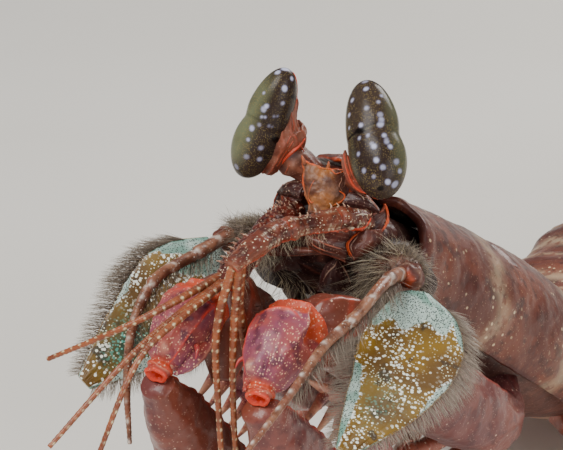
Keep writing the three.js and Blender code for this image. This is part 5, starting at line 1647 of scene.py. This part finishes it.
def carapace_paint(u, v):
    side = np.abs(u - 0.5) * 2
    wave = 0.02 * np.sin(19 * u) + 0.012 * np.sin(47 * u + 2)
    edge = ramp(side, 0.965, 0.02) + bell(v, 0.0, 0.02) + bell(v, 1.0, 0.012)
    dark_bands = 0.75 * bell(v + wave, 0.14, 0.05) + 0.7 * bell(v - wave, 0.45, 0.06) \
        + 0.65 * bell(v + wave, 0.8, 0.05)
    pale_bands = 0.4 * bell(v - wave, 0.29, 0.035) + 0.35 * bell(v + wave, 0.66, 0.03) \
        + 0.35 * bell(v, 0.05, 0.02)
    grooves = 0.5 * bell(v, 0.62, 0.012) * (side < 0.7)
    inner = bell(side, 0.42 - 0.1 * v, 0.02) * (v > 0.12) * 0.4
    return pale_bands, held((edge + grooves) * 0.8 + dark_bands * (0.6 + 0.4 * side) + inner), 0.0


carapace = plate("carapace_skin", carapace_surface, 180, 150, CARAPACE_WALL, marks=carapace_paint)
roughen(carapace, 2.5, 0.12)
finish(carapace, shell_cuticle, ["carapace"])
print("carapace", len(carapace.data.polygons), "faces")

# %% [markdown]
# ## The soft body
# One skin runs through the whole animal under the shell plates. It shows as darker flesh in the joints
# between the plates, inside the carapace's edge and round the roots of the limbs, so no joint gapes. Its
# front end is painted darker as shade, and a low wall painted dark stands in the shadowed hollow behind the
# mouth.

# %% Body skin
core_rows = profile([(9.6, 3.0, 2.2), (11.2, 3.8, 2.8), (12.9, 4.5, 3.1), (13.3, 4.7, 3.3), (13.0, 4.7, 3.4),
                     (12.5, 4.6, 3.4), (11.6, 4.5, 3.4), (10.9, 4.5, 3.5), (10.2, 4.5, 3.6), (9.8, 5.2, 5.0),
                     (9.4, 5.3, 5.5), (7.0, 4.6, 5.2), (4.9, 3.0, 3.8)])
# The front end of the skin, between the claws, is painted darker: painted shade.
skin = limb("body_skin", body_path("abdomen_6", 0.1, "carapace_front", 0.99), core_rows, sides=72, rings=200,
            power=2.5, relief=lambda t, angle: 0.06 * np.sin(9 * angle + 31 * t) * np.sin(47 * t),
            marks=lambda t, angle, distance: (0, 0, 0.5 * ramp(t, 0.8, 0.15)))
# Its front end spreads behind the mouth as a low wall between the bases of the claws, painted dark all over
# as the shade of the hollow there.
wall = limb("mouth_painted_shade_wall", heads((0, 1.5, -3.9), (0, 1.6, -6.4), (0, 2.2, -9.4)),
            [(6.2, 0.8, 0.9), (8.6, 0.9, 1.2), (7.0, 0.8, 1.2)], sides=64, rings=40, round_ends=True,
            power=2.6, relief=lambda t, angle: 0.12 * np.sin(23 * angle) * np.sin(8 * t), marks=(0, 0, 1.0))
roughen(wall, 1.0, 0.15)
skin = join_pieces("body_skin", [skin, wall])
finish(skin, flesh, ["thorax_front"])
print("body skin", len(skin.data.polygons), "faces")

# %% [markdown]
# ## The shell rings of the back
# Each segment of the body carries a broad, low ring of shell. Its rear edge is raised, dark and thin, and
# laps over the next ring. The sides hang down as rounded flaps, and the underside is paler.

# %% Body rings
SEGMENTS = [
    ("thorax_6", (10.2, 5.0, 4.4), (11.4, 5.4, 4.3)), ("thorax_7", (10.7, 5.0, 4.2), (11.9, 5.4, 4.1)),
    ("thorax_8", (11.2, 5.0, 4.0), (12.5, 5.4, 4.0)), ("abdomen_1", (11.8, 5.0, 3.9), (13.3, 5.5, 3.9)),
    ("abdomen_2", (12.6, 5.1, 3.9), (14.1, 5.6, 3.9)), ("abdomen_3", (13.3, 5.2, 3.9), (14.6, 5.6, 3.9)),
    ("abdomen_4", (13.7, 5.2, 3.8), (14.8, 5.5, 3.8)), ("abdomen_5", (13.7, 5.0, 3.7), (14.5, 5.2, 3.6)),
    ("abdomen_6", (13.0, 4.6, 3.3), (12.0, 4.2, 2.6)),
]


def ring_of_shell(name, front_row, rear_row):
    front_row, rear_row = np.array(front_row), np.array(rear_row)
    lip = rear_row * v3(1.02, 1.04, 1)
    rows = profile([rear_row, lip, front_row * 0.25 + rear_row * 0.75, front_row * 0.6 + rear_row * 0.4,
                    front_row])
    first = {"abdomen_6": 0.02}.get(name, -0.045)

    def relief(t, angle):
        upper = held(np.sin(angle) * 3 + 0.4)
        lip_ridge = 0.14 * bell(t, 0.06, 0.035) - 0.12 * bell(t, 0.16, 0.03)
        across = np.abs(np.cos(angle))
        keels = 0.1 * bell(across, 0.9, 0.05) + 0.06 * bell(across, 0.6, 0.03)
        tail_keels = 0.22 * (name == "abdomen_6") * (bell(across, 0.35, 0.05) + bell(across, 0.72, 0.05))
        dimples = 0.05 * np.sin(9 * angle + 5 * t) * np.sin(8 * t)
        belly = -0.35 * (1 - upper) * again(t * 2, 0.5, 0.16)
        return (lip_ridge + keels + tail_keels + dimples) * upper + belly

    def paint(t, angle, distance):
        upper = held(np.sin(angle) * 3 + 0.8)
        wave = 0.03 * np.sin(7 * angle) + 0.02 * np.sin(17 * angle + 1)
        edge = 0.85 * bell(t, 0.0, 0.04) + 0.75 * bell(t + wave, 0.3, 0.11)
        across = np.abs(np.cos(angle))
        flap_spot = 0.8 * bell(across, 0.93, 0.03) * bell(t, 0.5, 0.12)
        pale = 0.4 * bell(t, 0.1, 0.03) * (across < 0.93) + 0.45 * bell(t - wave, 0.6, 0.1)
        return pale * upper, held(edge + flap_spot) * upper, 1 - upper
    piece = limb(f"{name}_skin", body_path(name, first, name, 0.985), rows, sides=128, rings=44, power=2.6,
                 relief=relief, marks=paint)
    roughen(piece, 2.2, 0.12)
    return finish(piece, shell_cuticle, [name])


for name, front_row, rear_row in SEGMENTS:
    ring_of_shell(name, front_row, rear_row)
print("rings of shell:", len(SEGMENTS))

# %% [markdown]
# ## The tail
# The telson is a broad, thick plate with a ridge down its middle, low bosses beside it, and three pairs
# of teeth on its rear edge, with small denticles between them. Beside it each uropod has a forked spine
# and two oval blades; the outer blade is edged with stout movable spines.

# %% Telson
TELSON_HALF_WIDTH = 11.3
TELSON_TEETH = (2.2, 5.6, 8.6)
telson_rows = profile([(6.4, 0.8, 1.0), (9.4, 1.3, 1.2), (11.0, 1.8, 1.4), (TELSON_HALF_WIDTH, 2.4, 1.8),
                       (TELSON_HALF_WIDTH * 0.97, 2.8, 2.1)])


def telson_relief(t, angle):
    x = np.cos(angle)
    top = held(np.sin(angle) * 4)
    middle = 0.75 * bell(x, 0, 0.05) * held(1.1 - t * 0.25) * held(t / 0.05)
    bosses = 0.3 * bell(np.abs(x), 0.25, 0.05) * bell(t, 0.45, 0.3) + 0.3 * bell(np.abs(x), 0.5, 0.05) \
        * bell(t, 0.4, 0.25) + 0.3 * bell(np.abs(x), 0.8, 0.05)
    pits = -0.06 * np.abs(np.sin(12 * x + 3 * t) * np.sin(20 * t))
    return (middle + bosses + pits) * top


def telson_paint(t, angle, distance):
    x = np.abs(np.cos(angle))
    top = held(np.sin(angle) * 4)
    edge = ramp(x, 0.94, 0.04) + bell(t, 0, 0.03)
    ridge = 0.5 * bell(x, 0, 0.03) + 0.4 * bell(x, 0.25, 0.03) * bell(t, 0.45, 0.3)
    return 0.45 * ridge * top, held(edge) * 0.6, (1 - top) * 0.7


telson_parts = [limb("plate", body_path("telson", 0.01, "telson", 0.99), telson_rows, sides=144, rings=72,
                     power=2.2, relief=telson_relief, marks=telson_paint)]
for tag, sign in SIDES:
    for i, across in enumerate(TELSON_TEETH):
        root = on_body("telson", 0.1, sign * across * 0.86, 0) + v3(0, -[0, 1.4, 4.2][i], 0)
        tip = root + v3(sign * (0.3 + 0.35 * i), 3.6, -0.3)
        telson_parts.append(limb("tooth", [root, root * 0.45 + tip * 0.55, tip], taper(0.9, 0.75, 0.01),
                                 sides=18, rings=18, marks=lambda t, angle, distance: (0, held(t) * 0.8, 0)))
    for across in np.linspace(0.5, 7.6, 12):
        root = on_body("telson", 0.04, sign * across * 0.8, -0.1)
        telson_parts.append(limb("denticle", [root, root + v3(0, 0.5, 0), root + v3(0, 1.1, -0.05)],
                                 taper(0.2, 1, 0.01), sides=8, rings=6,
                                 marks=lambda t, angle, distance: (0.4 * t, 0, 0)))
telson_whole = join_pieces("telson_skin", telson_parts)
lift_to_floor(telson_whole)
finish(telson_whole, shell_cuticle, ["telson"])
print("telson made")

# %% Uropods
UROPOD_BLADES = ((6.6, 14.2, 3.5, 0.3), (0.4, 12.6, 2.2, 0.3))  # out, length, half width, height of tip


def uropod_joint(sign):
    return on_body("abdomen_6", 0.06, sign * 11.4, -1.0)


def uropod_blade_shape(sign, index):
    out, length, half_width, end = UROPOD_BLADES[index]
    start = uropod_joint(sign) + v3(sign * (out * 0.25 + 1.4), 3.4, -1.3)
    tip = v3(start[0] + sign * out, start[1] + length, end)
    path = along([start, (start + tip) / 2 + v3(sign * 0.6, 0, 0.3), tip])
    size = profile([(1.1, 0.6), (half_width * 0.9, 0.5), (half_width, 0.38), (half_width * 0.85, 0.3),
                    (half_width * 0.35, 0.2)])
    return path, size


def uropod(tag, sign):
    joint = uropod_joint(sign)
    pieces = [limb("stalk", [joint + v3(-sign * 1.2, -1.4, 0.2), joint + v3(sign * 0.9, 2.2, -0.7),
                             joint + v3(sign * 2.4, 5.0, -1.4)],
                   [(1.6, 1.3), (1.7, 1.3), (1.5, 1.0)], sides=44, rings=30,
                   relief=lambda t, angle: 0.12 * bell(t, 0.9, 0.05) + 0.1 * bell(np.sin(angle), 1, 0.1))]
    for index in range(2):
        path, size = uropod_blade_shape(sign, index)
        pieces.append(limb(
            "blade", path, size, sides=96, rings=90,
            relief=lambda t, angle: 0.16 * bell(np.cos(angle), 0, 0.06) * np.abs(np.sin(angle))
            + 0.05 * again(np.cos(angle) * 5, 0.5, 0.2) * np.abs(np.sin(angle)),
            marks=lambda t, angle, distance: (
                0.5 * bell(np.cos(angle), 0, 0.05),
                0.6 * ramp(np.abs(np.cos(angle)), 0.95, 0.03),
                0.55 * ramp(t, 0.6, 0.3))))
    out, length, half_width, end = UROPOD_BLADES[0]
    for i in range(8):
        share = 0.26 + 0.5 * i / 7
        root = joint + v3(sign * (out * (0.25 + share) + 1.4 + half_width * 0.75), 3.4 + length * share,
                          -1.3 + (end - joint[2] + 1.3) * share + 0.3)
        reach = 1.7 + 0.16 * i
        tip = root + v3(sign * 0.55 * reach, 0.8 * reach, 0.1)
        pieces.append(limb("spine", [root, (root + tip) / 2 + v3(sign * 0.06, 0, 0.05), tip],
                           taper(0.34, 0.7, 0.01), sides=14, rings=14,
                           marks=lambda t, angle, distance: (0.5 * t, 0, 0)))
    for i, reach in enumerate((0.2, 2.0)):
        root = joint + v3(sign * (0.9 + reach * 0.3), 3.0, -1.8)
        tip = joint + v3(sign * (0.9 + reach), 9.5 - 2 * i, -3.4)
        tip[2] = max(tip[2], 0.35)
        pieces.append(limb("fork", [root, (root + tip) / 2 + v3(0, 0, 0.1), tip], taper(0.7, 0.8, 0.02),
                           sides=20, rings=24))
    return lift_to_floor(finish_side("uropod", tag, pieces, shell_cuticle))


for tag, sign in SIDES:
    print(uropod(tag, sign).name)

# %% [markdown]
# ## Walking legs and swimmerets
# Three pairs of slender legs carry the raised front of the body. Each has a thin outer branch and joints
# that show as narrow waists. Under the abdomen hang five pairs of swimmerets: a short stalk with two thin
# leaves, veined and edged with hair.

# %% Legs
LEG_STEPS = (-9, 1, 9)
LEG_REACH = 9.5
FOOT_LIFT = 0.02


def leg_places(pair, sign):
    name, front_row, rear_row = SEGMENTS[pair]
    half_width = (rear_row[0] + front_row[0]) / 2
    root = on_body(name, 0.5, sign * half_width * 0.62, -front_row[2] * 0.7)
    step = LEG_STEPS[pair]
    centre = shift[0]
    knee = v3(centre + sign * (half_width + LEG_REACH * 0.5), root[1] + step * 0.45, root[2] * 0.62 + 2.2)
    ankle = v3(centre + sign * (half_width + LEG_REACH * 0.85), root[1] + step * 0.85, 3.4)
    foot = v3(centre + sign * (half_width + LEG_REACH), root[1] + step, FOOT_LIFT)
    hip = root * 0.55 + knee * 0.45 + v3(0, 0, -0.8)
    return root, hip, knee, ankle, foot


def walking_leg(pair, tag, sign):
    root, hip, knee, ankle, foot = leg_places(pair, sign)
    joints = (0.12, 0.5, 0.78)

    def waists(t, angle):
        pinched = sum(0.12 * bell(t, joint - 0.03, 0.025) - 0.25 * bell(t, joint, 0.01) for joint in joints)
        return pinched + 0.03 * np.sin(5 * angle + 20 * t)

    def paint(t, angle, distance):
        rims = sum(bell(t, joint + 0.012, 0.012) for joint in joints)
        return 0, 0.5 * rims, 0.3 * again(t * 6, 0.5, 0.15)

    main = limb("leg", [root, hip, knee, ankle, foot], [1.5, 1.15, 1.0, (0.8, 0.7), (0.28, 0.3)],
                v3(0, 1, 0), sides=28, rings=110, relief=waists, marks=paint)
    branch = limb("branch", [knee + v3(0, 0.2, 0), knee + v3(sign * 2.4, 2.0, -1.4),
                             knee + v3(sign * 3.8, 3.4, -5.0)], [0.6, 0.55, 0.1], v3(0, 1, 0), sides=18,
                  rings=50, relief=lambda t, angle: 0.05 * np.sin(3 * angle) - 0.15 * bell(t, 0.35, 0.02))
    return lift_to_floor(finish_side(f"walking_leg_{pair + 1}", tag, [main, branch], limb_cuticle))


for tag, sign in SIDES:
    for pair in range(3):
        walking_leg(pair, tag, sign)
print("legs made")

# %% Swimmerets
def swimmeret_blade(pair, sign, index):
    name, front_row, rear_row = SEGMENTS[3 + pair]
    root = on_body(name, 0.62, sign * front_row[0] * 0.52, -front_row[2] + 0.4)
    across = (1.9, -1.7)[index]
    start = root + v3(sign * (0.6 + across * 0.4), 0.4, -1.3)
    length = (7.2, 6.4)[index]
    end = v3(start[0] + sign * across * 0.9, start[1] + length, 0.3)
    path = along([start, (start + end) / 2 + v3(0, 0, -0.35), end])
    size = profile([(0.9, 0.45), (2.0, 0.35), (2.1, 0.3), (0.6, 0.2)])
    return root, path, size


def swimmeret(pair, tag, sign):
    pieces = []
    for index in range(2):
        root, path, size = swimmeret_blade(pair, sign, index)
        pieces.append(limb(
            "leaf", path, size, sides=48, rings=44,
            relief=lambda t, angle: 0.08 * bell(np.cos(angle), 0.1, 0.08) * np.abs(np.sin(angle)),
            marks=lambda t, angle, distance: (
                0.35 * bell(np.cos(angle), 0.1, 0.06),
                0.5 * ramp(np.abs(np.cos(angle)), 0.94, 0.03), 0)))
    down = v3(sign * 0.6, 0.9, -2.0)
    pieces.append(limb("stalk", [root, root + down / 2, root + down], [(1.8, 1.1), (1.9, 1.0), (1.5, 0.8)],
                       sides=32, rings=16))
    return lift_to_floor(finish_side(f"pleopod_{pair + 1}", tag, pieces, limb_cuticle))


for tag, sign in SIDES:
    for pair in range(5):
        swimmeret(pair, tag, sign)
print("swimmerets made")

# %% [markdown]
# ## Setae
# Long, soft setae fringe the antennal scales and the tail, clothe the bases of the antennae, stand along
# the whips and bristle round the mouth. They are 0.04 to 0.08 mm wide, a little more than in life, so
# that they still show. They lean towards the tip of what carries them.

# %% Setae materials
def setae_material(name, root, middle, tip):
    """Chitin hair: its colour runs from root to tip, and differs a little from hair to hair."""
    material, tree, place, tone_of_hair, share_of_hair, unused = new_material(name)
    tone = layer(tree, root, middle, tone_of_hair)
    tone = layer(tree, tone, tip, share_of_hair, 0.35)
    shader = add_node(tree, "ShaderNodeBsdfPrincipled", {"Base Color": tone, "Roughness": 0.45, "IOR": 1.5})
    add_node(tree, "ShaderNodeOutputMaterial", {"Surface": shader.outputs["BSDF"]})
    return material


setae_finish = setae_material("setae_chitin_hair", "#4f4136", "#9c8b79", "#c8bcac")
pale_setae = setae_material("setae_chitin_pale_hair", "#6b5a46", "#cbb994", "#efe6d2")
hair_random = np.random.default_rng(7)
HAIR_SUNK = 0.12  # how far the root of a hair lies inside the edge it grows from


def grow_fringe(name, path, size, right, edges, start, stop, count, length, width, lean, droop,
                stretch=None):
    """Rows of setae along the edges of a blade. Lean is how far they turn towards its tip, in degrees."""
    hairs = []
    for edge in edges:
        for i in range(count):
            t = start + (stop - start) * (i + hair_random.random()) / count
            point, heading = path(t)
            side = square_to(heading, right)
            up = np.cross(heading, side)
            half_width, above, _ = size(t)
            angle = math.radians(lean + 22 * (t - 0.5) + 9 * hair_random.normal())
            out = side * edge * math.cos(angle) + heading * math.sin(angle)
            out = out + up * 0.12 * hair_random.normal()
            layer = hair_random.uniform(-0.5, 0.5)
            root = point + side * edge * (half_width - HAIR_SUNK) + up * layer * above
            bend = heading * 0.22 * hair_random.random() + v3(0, 0, -droop * hair_random.random())
            reach = length * (stretch(t) if stretch else 1.0) * hair_random.uniform(0.7, 1.1)
            thick = width * hair_random.uniform(0.7, 1.2)
            place = (0.5 + 0.48 * edge, t, hair_random.uniform(0.2, 1.0))
            hairs.append((root, out, bend, reach, thick, place))
    return finish(hair_mesh(name, hairs), setae_finish)


# %% [markdown]
# The scales carry the longest fringe. It runs all round the margin, long at the middle and short at the
# base, and it overlaps so closely that it reads as a soft grey edge.

# %% Fringe of the antennal scales
for tag, sign in SIDES:
    line_points, right = SCALES[tag]
    grow_fringe(f"scale_fringe_{tag}", along(line_points), SCALE_PROFILE, right, (-1, 1), 0.12, 0.99, 900,
                2.0, 0.042, 34, 0.1,
                stretch=lambda t: 0.45 + 0.65 * math.sin(math.pi * min(t * 0.85 + 0.1, 1.0)))

# %% [markdown]
# The antenna's base is a dense brush. Each hair starts square to the surface and bends outwards.

# %% Brush on the antenna bases
def grow_brush(name, path, size, right, start, stop, count, length, width, heading_pull, sector=None,
               bend=(0, 0, 0), material=setae_finish):
    """Setae all over a limb, or over one sector of it, given as middle angle and half width."""
    hairs = []
    for _ in range(count):
        t = start + (stop - start) * hair_random.random()
        angle = hair_random.uniform(-math.pi, math.pi)
        if sector:
            angle = sector[0] + sector[1] * hair_random.uniform(-1, 1)
        point, heading = path(t)
        side = square_to(heading, right)
        up = np.cross(heading, side)
        wide, above, below = size(t)
        offset = side * math.cos(angle) * wide + up * math.sin(angle) * (above if angle > 0 else below)
        out = unit(offset) + heading * heading_pull + 0.25 * hair_random.normal(size=3)
        curl = np.array(bend) + 0.3 * hair_random.normal(size=3) * 0.5
        reach = length * hair_random.uniform(0.45, 1.1)
        thick = width * hair_random.uniform(0.7, 1.2)
        place = (0.5 + angle / (2 * math.pi), t, hair_random.uniform(0.0, 1.0))
        hairs.append((point + offset * 0.95, out, curl, reach, thick, place))
    return finish(hair_mesh(name, hairs), material)


for tag, sign in SIDES:
    sector = None if tag == "left" else (-1.57, 1.8)  # the right base is bare below, where it shows
    grow_brush(f"antenna_brush_{tag}", antenna_base_path(sign), BASE_PROFILE, v3(0, 1, 0), 0.35, 1.0, 1500,
               1.7, 0.045, 0.6, sector=sector, bend=(0.25 * sign, -0.35, -0.3))
    grow_brush(f"antenna_tuft_{tag}", antenna_base_path(sign), BASE_PROFILE, v3(0, 1, 0), 0.3, 1.0, 500, 2.1,
               0.045, 0.5, sector=sector, bend=(-0.5 * sign, -0.3, -0.2), material=pale_setae)
    grow_brush(f"whip_setae_{tag}", along(WHIPS[tag]), WHIP_PROFILE, v3(1, 0, 0.3), 0.1, 0.8, 420, 1.9, 0.045,
               0.6, sector=(-1.57, 0.6), bend=(0, -0.1, -0.3))
    grow_brush(f"stem_setae_{tag}", along(ANTENNULES[tag]["stem"]), STEM_PROFILE, SIDEWAYS, 0.4, 0.95, 110,
               1.4, 0.035, 0.35, sector=(-1.4, 0.7), bend=(0, 0, -0.2), material=pale_setae)

# %% [markdown]
# Round the mouth long, pale, stiff setae cross the dark hollow between the claws. They root on the plates
# before the mouth and on the inner sides of the limbs.

# %% Setae round the mouth
mouth_path = along(heads((-5.4, -0.6, -6.4), (-2.5, -1.6, -7.2), (1.0, -1.8, -7.4), (5.2, -1.0, -6.6)))
grow_brush("mouth_setae", mouth_path, lambda t: v3(0.5, 0.5, 0.5), v3(0, 1, 0), 0.0, 1.0, 120, 4.2, 0.035,
           0.0, sector=(-1.2, 1.2), bend=(0, -0.15, -0.35), material=pale_setae)
for tag, sign in SIDES:
    merus_path = along(claw_places(sign, "thigh", "shin", "elbow"))
    grow_brush(f"claw_setae_{tag}", merus_path, lambda t: v3(2.4, 2.8, 2.8), SIDEWAYS, 0.1, 0.85, 80, 3.4,
               0.045, 0.25, sector=(math.pi if sign > 0 else 0.0, 0.9),
               bend=(-0.2 * sign, -0.1, 0.1))

# %% [markdown]
# The tail fan and the swimmerets are edged with a soft fringe, which widens them for swimming.

# %% Fringe of tail and swimmerets
for tag, sign in SIDES:
    for index in range(2):
        path, size = uropod_blade_shape(sign, index)
        edges = (-sign,) if index == 0 else (-1, 1)
        grow_fringe(f"tail_fringe_{index + 1}_{tag}", path, size, SIDEWAYS, edges, 0.35, 0.99, 620, 2.0, 0.08,
                    48, 0.05)
    for pair in range(5):
        for index in range(2):
            root, path, size = swimmeret_blade(pair, sign, index)
            grow_fringe(f"pleopod_fringe_{pair + 1}{index + 1}_{tag}", path, size, SIDEWAYS, (-1, 1), 0.25,
                        0.98, 150, 1.5, 0.08, 42, 0.0)

# %% [markdown]
# ## Floor, light and backdrop
# The model stands on a plain pale floor in soft studio light: one broad key light in front and to the
# left, a weaker fill from the right, and a light behind that draws a rim on shell and hair.

# %% Stage
clear_selection()
bpy.ops.mesh.primitive_plane_add(size=6, location=(0, 0, -0.0002))
floor = bpy.context.object
floor.name = "floor"
floor_paint, tree, place, *unused = new_material("floor_matt_paper")
floor_tone = layer(tree, "#dedad2", "#e3dfd8", cloud(tree, place, 40.0))
shader = add_node(tree, "ShaderNodeBsdfPrincipled", {"Base Color": floor_tone, "Roughness": 0.9})
add_node(tree, "ShaderNodeOutputMaterial", {"Surface": shader.outputs["BSDF"]})
floor.data.materials.append(floor_paint)


def studio_light(name, place_mm, size_mm, watts, tint):
    clear_selection()
    bpy.ops.object.light_add(type="AREA", location=Vector(place_mm) * MM)
    lamp = bpy.context.object
    lamp.name = name
    lamp.data.energy = watts
    lamp.data.size = size_mm * MM
    lamp.data.color = tint
    towards = Vector(EYE_PLATE) * MM - lamp.location
    lamp.rotation_euler = towards.to_track_quat("-Z", "Y").to_euler()
    return lamp


studio_light("key_light", (-80, -330, 380), 280, 2.3, (1.0, 0.98, 0.95))
studio_light("fill_light", (330, -240, 160), 260, 0.6, (0.95, 0.97, 1.0))
studio_light("rim_light", (60, 260, 260), 180, 1.1, (1.0, 0.98, 0.95))
world = bpy.context.scene.world or bpy.data.worlds.new("studio")
bpy.context.scene.world = world
world.use_nodes = True
world.node_tree.nodes["Background"].inputs["Color"].default_value = colour("#d9dbdd")
world.node_tree.nodes["Background"].inputs["Strength"].default_value = 0.35
print("stage ready")

# %% [markdown]
# ## Clean-up
# The blank columns that the limbs were copied from are removed.

# %% Finish
for mesh in blanks.values():
    bpy.data.meshes.remove(mesh)
